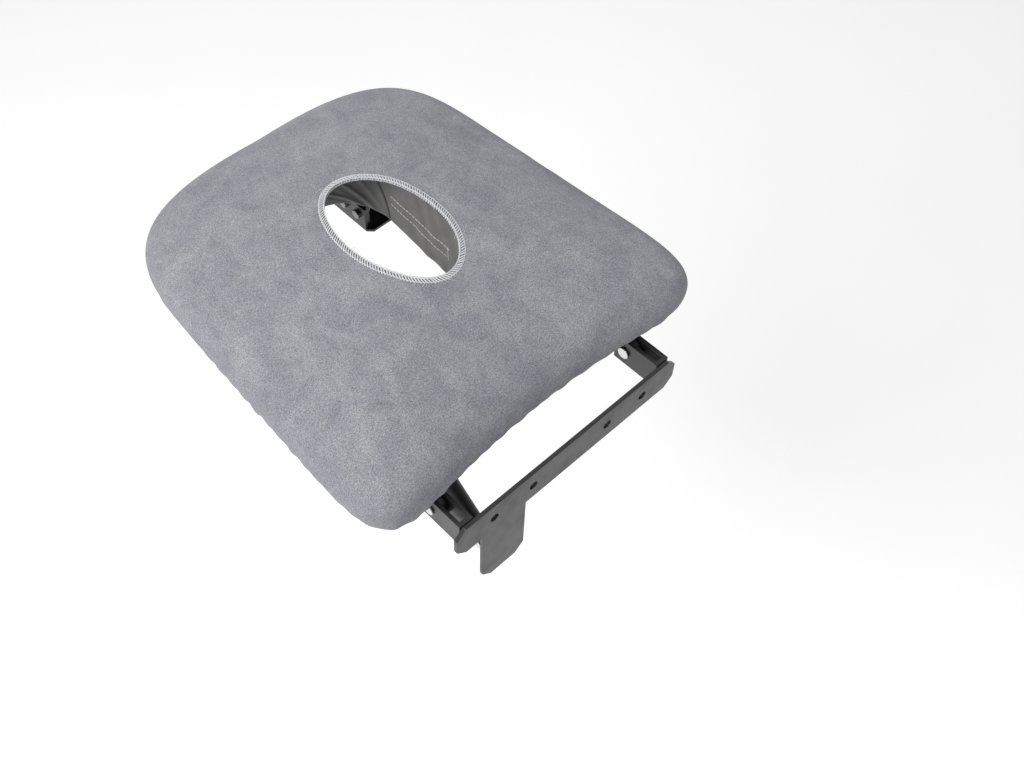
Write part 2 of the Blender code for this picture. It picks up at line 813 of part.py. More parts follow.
def make_hinge_bush(side, sign):
    """The flanged nylon bush between the arm and the pin."""
    x = sign * (RAIL_X + RAIL_WIDTH / 2 + GAP + ARM_THICK / 2)
    half = ARM_THICK / 2
    flange = half + EAR_GAP * 0.6
    hole = PIN_RADIUS + RUNNING
    profile = [(hole, flange), (0.009, flange), (0.009, half + 0.0001), (BUSH_RADIUS, half + 0.0001)]
    profile += [(BUSH_RADIUS, -half), (hole, -half)]
    place = (x, HINGE_Y, HINGE_Z)
    return add_turned(f"hinge_bush_{side}", profile, place, (-sign, 0, 0), NYLON, closed=True, steps=24)


def headed_pin(name, start, end, radius, finish):
    """A pin with a rounded head at each end."""
    length = (Vector(end) - Vector(start)).length
    head = radius + 0.002
    profile = [
        (0.0, length + 0.0018),
        (head * 0.7, length + 0.0014),
        (head, length + 0.0004),
        (head, length),
        (radius, length),
        (radius, 0.0),
        (head, 0.0),
        (head, -0.0018),
        (0.0, -0.0018),
    ]
    direction = Vector(end) - Vector(start)
    return add_turned(name, profile, start, direction, finish)


def make_hinge_clevis(side, sign):
    """The folded bracket on the couch plate that carries one end of the tilt hinge."""
    middle = sign * (RAIL_X + RAIL_WIDTH / 2 + GAP + ARM_THICK / 2)
    inside = ARM_THICK + 2 * EAR_GAP
    base = PLATE_FRONT + GAP
    place = Matrix.Translation((middle, base, HINGE_Z)) @ Matrix.Rotation(math.radians(90), 4, "Z")
    pin_reach = HINGE_Y - base
    reach = pin_reach + 0.011
    height = 0.030
    add_clevis(
        f"hinge_clevis_{side}", place, EAR_WALL, reach, inside, EAR_WALL, height, pin_reach, BLACK_STEEL
    )
    half = inside / 2 + EAR_WALL + GAP
    start = (middle - half, HINGE_Y, HINGE_Z)
    end = (middle + half, HINGE_Y, HINGE_Z)
    headed_pin(f"hinge_pin_{side}", start, end, PIN_RADIUS, ZINC)


# ---------------------------------------------------------------- gas spring

ROD_PIVOT = (HINGE_Y + SPRING_REACH, HINGE_Z)
CYLINDER_PIVOT = (
    HINGE_Y + SPRING_REACH * math.cos(SPRING_OPEN_ANGLE),
    HINGE_Z - SPRING_REACH * math.sin(SPRING_OPEN_ANGLE),
)
CYLINDER_BASE = Vector((SPRING_X, *CYLINDER_PIVOT))
ROD_BASE = Vector((SPRING_X, *ROD_PIVOT))
SPRING_AXIS = (ROD_BASE - CYLINDER_BASE).normalized()
EYE_WIDTH = 0.008
EYE_RADIUS = 0.008
STEM_RADIUS = 0.0038
VALVE_TRAVEL = 0.0025
VALVE_RADIUS = 0.0015
VALVE_AXIS = SPRING_AXIS.cross(Vector((1, 0, 0)))
VALVE_TIP = ROD_BASE - SPRING_AXIS * 0.0115 + VALVE_AXIS * (0.011 + VALVE_TRAVEL)


def make_spring_anchor():
    """The bracket and pin at the foot of the gas spring."""
    base = PLATE_FRONT + GAP
    inside = EYE_WIDTH + 0.001
    turn = Matrix.Rotation(math.radians(90), 4, "Z")
    place = Matrix.Translation((SPRING_X, base, CYLINDER_PIVOT[1])) @ turn
    pin_reach = CYLINDER_PIVOT[0] - base
    add_clevis(
        "spring_anchor", place, 0.003, pin_reach + 0.007, inside, 0.003, 0.018, pin_reach, BLACK_STEEL
    )
    half = inside / 2 + 0.003 + GAP
    start = CYLINDER_BASE - Vector((half, 0, 0))
    end = CYLINDER_BASE + Vector((half, 0, 0))
    headed_pin("anchor_pin", start, end, PIN_RADIUS, ZINC)


def make_eye(name, pivot, stem_end, finish):
    """An eye on a pivot, with a stem that reaches along the spring."""
    half = Vector((EYE_WIDTH / 2, 0, 0))
    eye = add_cylinder(name, pivot - half, pivot + half, EYE_RADIUS, finish, sides=24)
    stem = cylinder_mesh(name + "_stem", pivot, stem_end, STEM_RADIUS, 16)
    boolean(eye, stem, "UNION")
    bore(eye, pivot - 2 * half, pivot + 2 * half, PIN_RADIUS + RUNNING, 20)
    return eye


def make_gas_cylinder():
    wall = 0.0015
    inner = CYLINDER_RADIUS - wall
    length = CYLINDER_END - CYLINDER_START
    profile = [
        (inner, length),
        (CYLINDER_RADIUS, length),
        (CYLINDER_RADIUS, 0.0015),
        (CYLINDER_RADIUS - 0.0015, 0.0),
        (0.0, 0.0),
    ]
    profile = [(0.0, 0.004), (inner, 0.004)] + profile
    start = CYLINDER_BASE + SPRING_AXIS * CYLINDER_START
    cylinder = add_turned("gas_cylinder", profile, start, SPRING_AXIS, BLACK_STEEL, steps=24)
    eye = make_eye("cylinder_eye", CYLINDER_BASE, start - SPRING_AXIS * GAP, ZINC)
    return [cylinder, eye]


def make_rod_guide():
    """The collar in the cylinder's mouth that the rod runs through."""
    hole = ROD_RADIUS + RUNNING
    outer = CYLINDER_RADIUS - 0.0015 - GAP
    profile = [(hole, 0.0), (outer, 0.0), (outer, -0.008), (hole, -0.008)]
    start = CYLINDER_BASE + SPRING_AXIS * (CYLINDER_END - 0.0005)
    return add_turned("rod_guide", profile, start, SPRING_AXIS, BLACK_PLASTIC, closed=True)


def make_gas_rod():
    """The chromed rod with its piston, from inside the cylinder to the release head."""
    stem = 0.016
    piston = CYLINDER_RADIUS - 0.0015 - GAP
    profile = [
        (0.0, 0.0),
        (ROD_RADIUS, 0.0),
        (ROD_RADIUS, stem + 0.006 - ROD_LENGTH),
        (piston, stem + 0.006 - ROD_LENGTH),
        (piston, stem - ROD_LENGTH),
        (0.0, stem - ROD_LENGTH),
    ]
    start = ROD_BASE - SPRING_AXIS * stem
    return add_turned("gas_rod", profile, start, SPRING_AXIS, CHROME)


def make_release_head():
    """The block on the rod's end: an eye on the stud, and a valve pin at its side."""
    head = make_eye("release_head", ROD_BASE, ROD_BASE - SPRING_AXIS * (0.016 - GAP), ZINC)
    valve_base = ROD_BASE - SPRING_AXIS * 0.0115
    boss_end = valve_base + VALVE_AXIS * 0.010
    boss = cylinder_mesh("release_boss", valve_base, boss_end, 0.0042, 16)
    boolean(head, boss, "UNION")
    bore(head, valve_base + VALVE_AXIS * 0.004, boss_end + VALVE_AXIS * 0.004, VALVE_RADIUS + RUNNING, 12)
    start = valve_base + VALVE_AXIS * (0.004 + VALVE_TRAVEL + GAP)
    end = boss_end + VALVE_AXIS * (VALVE_TRAVEL + 0.001)
    valve_pin = add_cylinder("valve_pin", start, end, VALVE_RADIUS, ZINC, sides=12)
    return [head, valve_pin]


def make_rod_stud():
    """The stud that stands out of the left rail and carries the rod's eye."""
    reach = RAIL_X - RAIL_WIDTH / 2 - abs(SPRING_X) - GAP
    end = -EYE_WIDTH / 2 - GAP
    profile = [
        (0.0, reach),
        (0.0075, reach),
        (0.0075, EYE_WIDTH / 2 + GAP),
        (PIN_RADIUS, EYE_WIDTH / 2 + GAP),
        (PIN_RADIUS, end),
        (0.0065, end),
        (0.0065, end - 0.002),
        (0.0, end - 0.002),
    ]
    return add_turned("rod_stud", profile, ROD_BASE, (-1, 0, 0), ZINC)


# ---------------------------------------------------------------- release handle

HANDLE_Y = 0.010
HANDLE_Z = -0.0235
HANDLE_PIVOT_X = -0.1285
HANDLE_WIDTH = 0.046


def make_release_handle():
    """The paddle under the cushion's left side, in its bracket on the rail."""
    base = -(RAIL_X + RAIL_WIDTH / 2 + GAP)
    place = Matrix.Translation((base, HANDLE_Y, HANDLE_Z)) @ Matrix.Rotation(math.radians(180), 4, "Z")
    pin_reach = base - HANDLE_PIVOT_X
    inside = HANDLE_WIDTH + 0.001
    bracket = add_clevis(
        "handle_bracket", place, 0.002, pin_reach + 0.006, inside, 0.002, 0.018, pin_reach, BLACK_STEEL
    )
    half = Vector((0, HANDLE_WIDTH / 2, 0))
    pivot = Vector((HANDLE_PIVOT_X, HANDLE_Y, HANDLE_Z))
    handle = add_cylinder("release_handle", pivot - half, pivot + half, 0.0065, BLACK_PLASTIC, sides=20)
    outline = [(-0.003, -0.004), (-0.010, -0.0065), (-0.016, -0.0105), (-0.022, -0.0125)]
    outline += arc(-0.0225, -0.0100, 0.0025, 270, 90, 6)[1:]
    outline += [(-0.017, -0.0055), (-0.011, -0.0005), (-0.003, 0.004)]
    upright = Matrix.Translation(pivot) @ Matrix.Rotation(math.radians(90), 4, "X")
    paddle = plate_mesh("release_paddle", outline, HANDLE_WIDTH * 0.9, upright)
    boolean(handle, paddle, "UNION")
    bore(handle, pivot - 2 * half, pivot + 2 * half, PIN_RADIUS + RUNNING, 20)
    pin_half = half + Vector((0, 0.0005 + 0.002 + GAP, 0))
    pin = headed_pin("handle_pin", pivot - pin_half, pivot + pin_half, PIN_RADIUS, ZINC)
    return [bracket, pin, handle]


def make_release_cable():
    """The sheathed cable from the handle's bracket, under the rail, to the release head."""
    low = RAIL_TOP - RAIL_HEIGHT - 0.006
    outer = -(RAIL_X + RAIL_WIDTH / 2 + 0.007)
    end = VALVE_TIP + VALVE_AXIS * 0.008
    points = [
        (outer, HANDLE_Y - HANDLE_WIDTH / 2 - 0.0075, HANDLE_Z - 0.004),
        (outer, HANDLE_Y - HANDLE_WIDTH / 2 - 0.022, low),
        (-RAIL_X, HANDLE_Y - HANDLE_WIDTH / 2 - 0.034, low - 0.006),
        (SPRING_X, HANDLE_Y - HANDLE_WIDTH / 2 - 0.046, low - 0.008),
        end + VALVE_AXIS * 0.006 + Vector((0, 0.010, 0)),
        end,
    ]
    curve = bpy.data.curves.new("release_cable", "CURVE")
    curve.dimensions = "3D"
    curve.bevel_depth = 0.0025
    curve.bevel_resolution = 1
    curve.use_fill_caps = True
    curve.resolution_u = 4
    spline = curve.splines.new("NURBS")
    spline.points.add(len(points) - 1)
    for point, place in zip(spline.points, points):
        point.co = (*place, 1.0)
    spline.order_u = 4
    spline.use_endpoint_u = True
    cable = bpy.data.objects.new("release_cable", curve)
    curve.materials.append(make_material("release_cable", *BLACK_PLASTIC))
    parts.objects.link(cable)
    return cable


# ---------------------------------------------------------------- couch bracket


def cut_corner_outline(left, right, low, high):
    """A rectangle with its four corners cut off."""
    cut = PLATE_CORNER
    return [
        (left + cut, low),
        (right - cut, low),
        (right, low + cut),
        (right, high - cut),
        (right - cut, high),
        (left + cut, high),
        (left, high - cut),
        (left, low + cut),
    ]


def make_mounting_plate():
    """The steel plate that bolts to the couch's end crossbar: a strip for the two hinge
    brackets, with a tongue down to the foot of the gas spring. Its back is flat."""
    middle = PLATE_FRONT - PLATE_THICK / 2
    place = Matrix.Translation((0, middle, 0)) @ Matrix.Rotation(math.radians(90), 4, "X")
    strip = cut_corner_outline(-PLATE_WIDTH / 2, PLATE_WIDTH / 2, STRIP_BOTTOM, PLATE_TOP)
    plate = add_plate("mounting_plate", strip, PLATE_THICK, place, BLACK_STEEL)
    near = SPRING_X - TONGUE_WIDTH / 2
    far = SPRING_X + TONGUE_WIDTH / 2
    tongue = cut_corner_outline(near, far, TONGUE_BOTTOM, STRIP_BOTTOM + 2 * PLATE_CORNER)
    blade = plate_mesh("mounting_tongue", tongue, PLATE_THICK, place)
    boolean(plate, blade, "UNION")
    for x in COUCH_BOLT_X:
        bore(plate, (x, middle - 0.01, PLATE_MIDDLE_Z), (x, middle + 0.01, PLATE_MIDDLE_Z), COUCH_BOLT_HOLE)


# ---------------------------------------------------------------- assembly


def hang_on(pivot_name, place, pieces):
    """Parent moving pieces to an empty that stands on their joint's axis."""
    empty = bpy.data.objects.new(pivot_name, None)
    empty.empty_display_size = 0.02
    empty.location = place
    parts.objects.link(empty)
    bpy.context.view_layer.update()
    for piece in pieces:
        piece.parent = empty
        piece.matrix_parent_inverse = empty.matrix_world.inverted()


def hang_everything():
    """Put the middle of the mounting plate's back at the origin."""
    empty = bpy.data.objects.new("couch_face", None)
    empty.location = (0, PLATE_THICK - PLATE_FRONT, -PLATE_MIDDLE_Z)
    loose = [obj for group in (parts, cutters) for obj in group.objects if obj.parent is None]
    parts.objects.link(empty)
    for obj in loose:
        obj.parent = empty


clear_scene()
parts = new_collection("face_cradle_cushion")
cutters = new_collection("cutters")

base_board = make_base_board()
dust_cover = make_dust_cover()
cushion = [
    base_board,
    dust_cover,
    make_foam_base(),
    make_foam_top(),
    make_vinyl_skin(),
    make_face_hole_lining(),
    make_fitted_cover(),
    make_hole_edging(),
    make_hem_elastic(),
    make_cross_tube(),
    make_rod_stud(),
    make_release_cable(),
]
for side, sign in (("left", -1), ("right", 1)):
    cushion.append(make_rail(side, sign))
    cushion.append(make_rail_plug(side, sign))
    cushion.append(make_gusset(side, sign))
    cushion.append(make_board_angle(side, sign))
    cushion.append(make_hinge_arm(side, sign))
    cushion.append(make_hinge_bush(side, sign))
    cushion.append(make_spacer(side, sign))
    cushion.extend(make_board_fixings(base_board, dust_cover, side, sign))
    cushion.extend(make_side_bolts(side, sign))
    make_hinge_clevis(side, sign)
bracket, handle_pin, handle = make_release_handle()
cushion.extend([bracket, handle_pin])
make_mounting_plate()
make_spring_anchor()
release_head, valve_pin = make_release_head()

hang_on("tilt_axis", (0, HINGE_Y, HINGE_Z), cushion)
hang_on("cylinder_axis", CYLINDER_BASE, [*make_gas_cylinder(), make_rod_guide()])
hang_on("rod_axis", ROD_BASE, [make_gas_rod(), release_head])
hang_on("valve_axis", ROD_BASE, [valve_pin])
hang_on("handle_axis", (HANDLE_PIVOT_X, HANDLE_Y, HANDLE_Z), [handle])
hang_everything()
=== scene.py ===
"""Looks of the face cradle cushion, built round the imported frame.

A fleece cover with an overlocked face hole, the vinyl lining under it, the layers of
upholstery, and finishes for the steel frame. Metres, +Z up, +Y towards the head end.
"""

import json
import math
import random

import bmesh
import bpy
import numpy as np
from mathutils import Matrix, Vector


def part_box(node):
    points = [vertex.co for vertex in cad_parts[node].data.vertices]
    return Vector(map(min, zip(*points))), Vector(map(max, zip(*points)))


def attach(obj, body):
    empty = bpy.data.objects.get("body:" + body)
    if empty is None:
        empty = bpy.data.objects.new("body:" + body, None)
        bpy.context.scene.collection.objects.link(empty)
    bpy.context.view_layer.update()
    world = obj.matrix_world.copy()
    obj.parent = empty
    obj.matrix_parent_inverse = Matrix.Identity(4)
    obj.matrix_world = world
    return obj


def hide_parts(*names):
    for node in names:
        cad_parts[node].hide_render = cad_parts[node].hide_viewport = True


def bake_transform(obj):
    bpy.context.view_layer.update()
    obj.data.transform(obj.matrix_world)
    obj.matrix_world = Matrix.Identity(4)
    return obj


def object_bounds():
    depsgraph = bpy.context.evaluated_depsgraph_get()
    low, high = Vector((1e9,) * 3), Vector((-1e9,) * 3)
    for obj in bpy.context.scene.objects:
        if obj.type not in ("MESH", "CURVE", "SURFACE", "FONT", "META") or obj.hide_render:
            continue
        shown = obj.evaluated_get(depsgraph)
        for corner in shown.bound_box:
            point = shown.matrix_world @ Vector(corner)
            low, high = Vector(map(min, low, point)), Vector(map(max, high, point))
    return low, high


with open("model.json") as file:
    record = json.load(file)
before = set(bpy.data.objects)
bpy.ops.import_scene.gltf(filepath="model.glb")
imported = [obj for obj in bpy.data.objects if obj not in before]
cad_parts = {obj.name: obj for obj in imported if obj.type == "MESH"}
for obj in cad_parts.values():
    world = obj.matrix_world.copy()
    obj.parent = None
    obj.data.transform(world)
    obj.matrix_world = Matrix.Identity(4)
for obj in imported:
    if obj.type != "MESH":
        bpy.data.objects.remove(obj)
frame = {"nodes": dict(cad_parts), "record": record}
CAD_LOW, CAD_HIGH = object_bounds()


def middle_of_hole():
    """The point under the middle of the face hole, on the board's underside."""
    low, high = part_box("hole_edging")
    return Vector(((low.x + high.x) / 2, (low.y + high.y) / 2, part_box("base_board")[0].z))


# Soft pieces are built about this point and then moved to it. They all ride on one body.
CENTRE = middle_of_hole()
CUSHION_BODY = "headrest"


def cushion_box(node):
    """A node's lowest and highest corners, measured from the centre."""
    low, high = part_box(node)
    return low - CENTRE, high - CENTRE


# Sizes read from the frame.
COVER_LOW, COVER_HIGH = cushion_box("fitted_cover")
EDGING_LOW, EDGING_HIGH = cushion_box("hole_edging")
LINING_LOW, LINING_HIGH = cushion_box("face_hole_lining")
DUST_LOW, DUST_HIGH = cushion_box("dust_cover")
BOARD_LOW, BOARD_HIGH = cushion_box("base_board")
ELASTIC_LOW, ELASTIC_HIGH = cushion_box("hem_elastic")
FIRM_FOAM_TOP = cushion_box("foam_base")[1].z

# Cushion form. The outline is a rounded quadrilateral, wider at the table end.
MIDDLE_SHARE = 0.966
CORNER_SHARE = 1.053
HALF_WIDTH = (COVER_HIGH.x - COVER_LOW.x) / 2 * MIDDLE_SHARE
HEAD_LENGTH = COVER_HIGH.y
TABLE_LENGTH = -COVER_LOW.y * CORNER_SHARE
TAPER = -0.063
SIDE_POWER_HEAD = 3.0
SIDE_POWER_TABLE = 9.0
END_POWER_HEAD = 5.8
END_POWER_TABLE = 8.0
TABLE_HOLLOW = 0.0222
BOTTOM_Z = COVER_LOW.z
BOTTOM_DEPTH = 0.0277
BOTTOM_RADIUS = 0.018
WAIST_Z = BOTTOM_Z + BOTTOM_DEPTH
EDGE_RADIUS = 0.030
SHOULDER_ANGLE = math.radians(68)
SHOULDER_Z = WAIST_Z + EDGE_RADIUS * math.sin(SHOULDER_ANGLE)
CROWN = 0.029
HEM_INSET = 0.0376

# Layers below the cover's outer face.
COVER_THICK = 0.0024
VINYL_DEPTH = 0.0027
VINYL_THICK = 0.0012
FOAM_DEPTH = 0.0048
GAP = 0.0003
FOAM_LOW = BOARD_HIGH.z + GAP
FLAP_INSET = 0.0436
DUST_INSET = 0.044
HEM_CORD_INSET = 0.042
STAPLE_COUNT = 36
STAPLE_WIDTH = 0.010
STAPLE_INSET = 0.006

# The cover's hole and the wider lined opening.
EDGING_WIDTH = 0.0065
HOLE_TURN = math.radians(3.1)
HOLE_HALF_WIDTH = (EDGING_HIGH.x - EDGING_LOW.x) / 2 - EDGING_WIDTH + GAP
HOLE_HALF_LENGTH = (EDGING_HIGH.y - EDGING_LOW.y) / 2 - EDGING_WIDTH + GAP
LINING_FLANGE = 0.016
OPENING_HALF_WIDTH = 0.0502
OPENING_WIDEST_Y = 0.070
OPENING_SLOPE = 0.069
OPENING_HEAD = LINING_HIGH.y - LINING_FLANGE
OPENING_TABLE = -LINING_LOW.y - LINING_FLANGE
OPENING_HEAD_POWER = 2.0
OPENING_TABLE_POWER = 4.0

FULL_TURN = 2 * math.pi


# ---------------------------------------------------------------- meshes

THREAD_SIDES = 6
# Across this direction lies the first side of every thread; no thread starts along it.
THREAD_SIDE_HINT = (0.31, 0.17, 0.93)


def new_object(name, vertices, faces):
    mesh = bpy.data.meshes.new(name)
    mesh.from_pydata([tuple(map(float, v)) for v in vertices], [], faces)
    mesh.update()
    mesh.shade_smooth()
    obj = bpy.data.objects.new(name, mesh)
    obj.location = CENTRE
    bpy.context.scene.collection.objects.link(obj)
    return obj


def loft_faces(rows, columns, closed_rows):
    """Quads between neighbouring rings of a stack. closed_rows joins the last ring to the first."""
    faces = []
    for row in range(rows if closed_rows else rows - 1):
        after = (row + 1) % rows
        for column in range(columns):
            beside = (column + 1) % columns
            faces.append(
                (
                    row * columns + column,
                    row * columns + beside,
                    after * columns + beside,
                    after * columns + column,
                )
            )
    return faces


def loft(name, rings, closed_rows=True):
    """Rings of points joined in order, into a hollow ring-shaped body or an open sheet."""
    rings = [np.asarray(points, float) for points in rings]
    faces = loft_faces(len(rings), len(rings[0]), closed_rows)
    obj = new_object(name, np.concatenate(rings), faces)
    point_faces_out(obj)
    return obj


def point_faces_out(obj):
    bm = bmesh.new()
    bm.from_mesh(obj.data)
    bmesh.ops.recalc_face_normals(bm, faces=bm.faces)
    bm.to_mesh(obj.data)
    bm.free()


class Threads:
    """Many thin tubes gathered into one mesh."""

    def __init__(self):
        self.vertices = []
        self.faces = []

    def add(self, points, radius, sides=THREAD_SIDES, closed=False):
        points = np.asarray(points, float)
        count = len(points)
        if closed:
            tangents = np.roll(points, -1, 0) - np.roll(points, 1, 0)
        else:
            tangents = np.gradient(points, axis=0)
        tangents /= np.linalg.norm(tangents, axis=1)[:, None]
        side = np.cross(tangents[0], THREAD_SIDE_HINT)
        base = len(self.vertices)
        for point, tangent in zip(points, tangents):
            side = side - tangent * np.dot(side, tangent)
            side /= np.linalg.norm(side)
            other = np.cross(tangent, side)
            for index in range(sides):
                turn = FULL_TURN * index / sides
                self.vertices.append(point + radius * (math.cos(turn) * side + math.sin(turn) * other))
        for face in loft_faces(count, sides, closed):
            self.faces.append(tuple(base + corner for corner in face))
        if not closed:
            self.faces.append(tuple(base + index for index in reversed(range(sides))))
            last = base + (count - 1) * sides
            self.faces.append(tuple(last + index for index in range(sides)))

    def build(self, name):
        return new_object(name, self.vertices, self.faces)


def place(obj, finish, slot, *nodes):
    """Give a new piece its finish and the cushion's body, and hide the CAD nodes it stands for."""
    obj.data.materials.append(finish)
    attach(obj, CUSHION_BODY)
    if nodes:
        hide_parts(*nodes)


# ---------------------------------------------------------------- cushion form

# Every outline lies within this radius, and is found by halving it this many times.
FARTHEST = 0.5
HALVINGS = 36


def polar_radius(inside, angles):
    """How far a star-shaped region reaches at each angle, by bisection."""
    near = np.zeros_like(angles)
    far = np.full_like(angles, FARTHEST)
    for _ in range(HALVINGS):
        middle = (near + far) / 2
        reached = inside(middle * np.cos(angles), middle * np.sin(angles))
        near = np.where(reached, middle, near)
        far = np.where(reached, far, middle)
    return near


def outline_radius(angles, inset=0.0):
    """The cushion seen from above: bulging at the head end, slightly hollow at the table end."""
    half_width = HALF_WIDTH - inset

    def inside(x, y):
        half_length = np.where(y > 0, HEAD_LENGTH, TABLE_LENGTH) - inset
        across = np.abs(x) / (half_width * (1 + TAPER * y / half_length))
        hollow = np.where(y < 0, TABLE_HOLLOW * np.maximum(0, 1 - across**2), 0.0)
        along = np.abs(y) / (half_length - hollow)
        head = across**SIDE_POWER_HEAD + along**END_POWER_HEAD
        table = across**SIDE_POWER_TABLE + along**END_POWER_TABLE
        return np.where(y > 0, head, table) < 1

    return polar_radius(inside, angles)


def opening_radius(angles, inset=0.0):
    """The lined opening: a rounded head end, and straight sides that narrow to the table end."""
    widest = OPENING_HALF_WIDTH - inset

    def inside(x, y):
        ahead = np.maximum(0, y - OPENING_WIDEST_Y) / (OPENING_HEAD - OPENING_WIDEST_Y - inset)
        head = (np.abs(x) / widest) ** OPENING_HEAD_POWER + ahead**OPENING_HEAD_POWER
        across = np.abs(x) / np.maximum(0.001, widest - OPENING_SLOPE * (OPENING_WIDEST_Y - y))
        behind = np.maximum(0, -y) / (OPENING_TABLE - inset)
        table = across**OPENING_TABLE_POWER + behind**OPENING_TABLE_POWER
        return np.where(y > OPENING_WIDEST_Y, head, table) < 1

    return polar_radius(inside, angles)


def hole_radius(angles, grow=0.0):
    """The cover's sewn hole, an ellipse that sits slightly askew."""
    a = HOLE_HALF_WIDTH + grow
    b = HOLE_HALF_LENGTH + grow
    turned = angles - HOLE_TURN
    return a * b / np.hypot(b * np.cos(turned), a * np.sin(turned))


def even_angles(radius_at, count):
    """Angles whose points are evenly spaced along a closed outline."""
    fine = np.linspace(0, FULL_TURN, 3001)
    radius = radius_at(fine)
    points = np.stack([radius * np.cos(fine), radius * np.sin(fine)], 1)
    steps = np.linalg.norm(np.diff(points, axis=0), axis=1)
    length = np.concatenate([[0], np.cumsum(steps)])
    wanted = (np.arange(count) + 0.5) / count * length[-1]
    return np.interp(wanted, length, fine)


def ring(angles, radius, height):
    height = np.broadcast_to(height, angles.shape)
    return np.stack([radius * np.cos(angles), radius * np.sin(angles), height], 1)


def dome_height(angles, radius, depth=0.0):
    """The crowned top, at a depth below the cover's outer face."""
    shoulder = outline_radius(angles, EDGE_RADIUS * (1 - math.cos(SHOULDER_ANGLE)))
    return SHOULDER_Z + CROWN * (1 - (radius / shoulder) ** 2) - depth


def dome_ring(angles, inner, share, depth):
    """A ring on the crowned top, at a share of the way from the inner radius to the shoulder."""
    inset = EDGE_RADIUS - (EDGE_RADIUS - depth) * math.cos(SHOULDER_ANGLE)
    radius = inner + (outline_radius(angles, inset) - inner) * share
    return ring(angles, radius, dome_height(angles, radius, depth))


def edge_ring(angles, up, depth):
    """A ring on the rounded upper edge, at an angle up from the waist."""
    radius = EDGE_RADIUS - depth
    inset = EDGE_RADIUS - radius * math.cos(up)
    return ring(angles, outline_radius(angles, inset), WAIST_Z + radius * math.sin(up))


def bottom_ring(angles, down, depth):
    """A ring on the rounded lower edge, at an angle down from the waist."""
    inset = BOTTOM_RADIUS - (BOTTOM_RADIUS - depth) * math.cos(down)
    return ring(angles, outline_radius(angles, inset), WAIST_Z - (BOTTOM_DEPTH - depth) * math.sin(down))


def skin_rings(angles, depth, flap_inset, inner, flat_rows, side_rows, edge_rows, dome_rows):
    """One face of a skin from its hem under the cushion, round the edge, to the hole."""
    quarter = math.pi / 2
    rings = []
    for share in np.linspace(0, 1, flat_rows, endpoint=False):
        inset = flap_inset + (BOTTOM_RADIUS - flap_inset) * share
        rings.append(ring(angles, outline_radius(angles, inset), BOTTOM_Z + depth))
    for share in np.linspace(1, 0, side_rows, endpoint=False):
        rings.append(bottom_ring(angles, quarter * share, depth))
    for share in np.linspace(0, 1, edge_rows, endpoint=False):
        rings.append(edge_ring(angles, SHOULDER_ANGLE * share, depth))
    for share in np.linspace(1, 0, dome_rows):
        rings.append(dome_ring(angles, inner, share, depth))
    return rings


# ---------------------------------------------------------------- procedural finishes


class Finish:
    """A procedural material on object coordinates, which are metres in the frame."""

    def __init__(self, name, roughness=0.5, metallic=0.0):
        self.material = bpy.data.materials.new(name)
        self.material.use_nodes = True
        self.tree = self.material.node_tree
        self.shader = self.tree.nodes["Principled BSDF"]
        self.coordinates = self.tree.nodes.new("ShaderNodeTexCoord").outputs["Object"]
        self.set("Roughness", roughness)
        self.set("Metallic", metallic)

    def set(self, name, value):
        """A value or another node's output goes into one of the shader's inputs."""
        self.feed(self.shader.inputs[name], value)

    def feed(self, socket, value):
        if isinstance(value, bpy.types.NodeSocket):
            self.tree.links.new(value, socket)
        elif isinstance(value, tuple) and len(value) == 3 and socket.type == "RGBA":
            socket.default_value = (*value, 1.0)
        else:
            socket.default_value = value

    def stretched(self, scale):
        node = self.tree.nodes.new("ShaderNodeVectorMath")
        node.operation = "MULTIPLY"
        self.feed(node.inputs[0], self.coordinates)
        node.inputs[1].default_value = scale
        return node.outputs[0]

    def noise(self, scale, detail=3.0, roughness=0.55, stretch=None, distortion=0.0):
        node = self.tree.nodes.new("ShaderNodeTexNoise")
        self.feed(node.inputs["Vector"], self.stretched(stretch) if stretch else self.coordinates)
        node.inputs["Scale"].default_value = scale
        node.inputs["Detail"].default_value = detail
        node.inputs["Roughness"].default_value = roughness
        node.inputs["Distortion"].default_value = distortion
        return node.outputs["Fac"]

    def cells(self, scale, feature="F1"):
        node = self.tree.nodes.new("ShaderNodeTexVoronoi")
        node.feature = feature
        self.feed(node.inputs["Vector"], self.coordinates)
        node.inputs["Scale"].default_value = scale
        return node.outputs["Distance"]

    def bands(self, scale, direction, distortion):
        node = self.tree.nodes.new("ShaderNodeTexWave")
        node.bands_direction = direction
        self.feed(node.inputs["Vector"], self.coordinates)
        node.inputs["Scale"].default_value = scale
        node.inputs["Distortion"].default_value = distortion
        return node.outputs["Fac"]

    def ramp(self, source, *stops):
        """Stops are (position, value or colour)."""
        node = self.tree.nodes.new("ShaderNodeValToRGB")
        self.feed(node.inputs["Fac"], source)
        elements = node.color_ramp.elements
        while len(elements) < len(stops):
            elements.new(0.5)
        for element, (position, value) in zip(elements, stops):
            element.position = position
            element.color = (*value, 1.0) if isinstance(value, tuple) else (value, value, value, 1.0)
        return node.outputs["Color"]

    def mix(self, factor, first, second, blend="MIX"):
        """Two colours mixed. The node keeps its colour inputs at 6 and 7 and its colour output at 2."""
        node = self.tree.nodes.new("ShaderNodeMix")
        node.data_type = "RGBA"
        node.blend_type = blend
        self.feed(node.inputs[0], factor)
        self.feed(node.inputs[6], first)
        self.feed(node.inputs[7], second)
        return node.outputs[2]

    def bump(self, height, strength, distance, under=None):
        node = self.tree.nodes.new("ShaderNodeBump")
        node.inputs["Strength"].default_value = strength
        node.inputs["Distance"].default_value = distance
        self.feed(node.inputs["Height"], height)
        if under is not None:
            self.feed(node.inputs["Normal"], under)
        return node.outputs["Normal"]


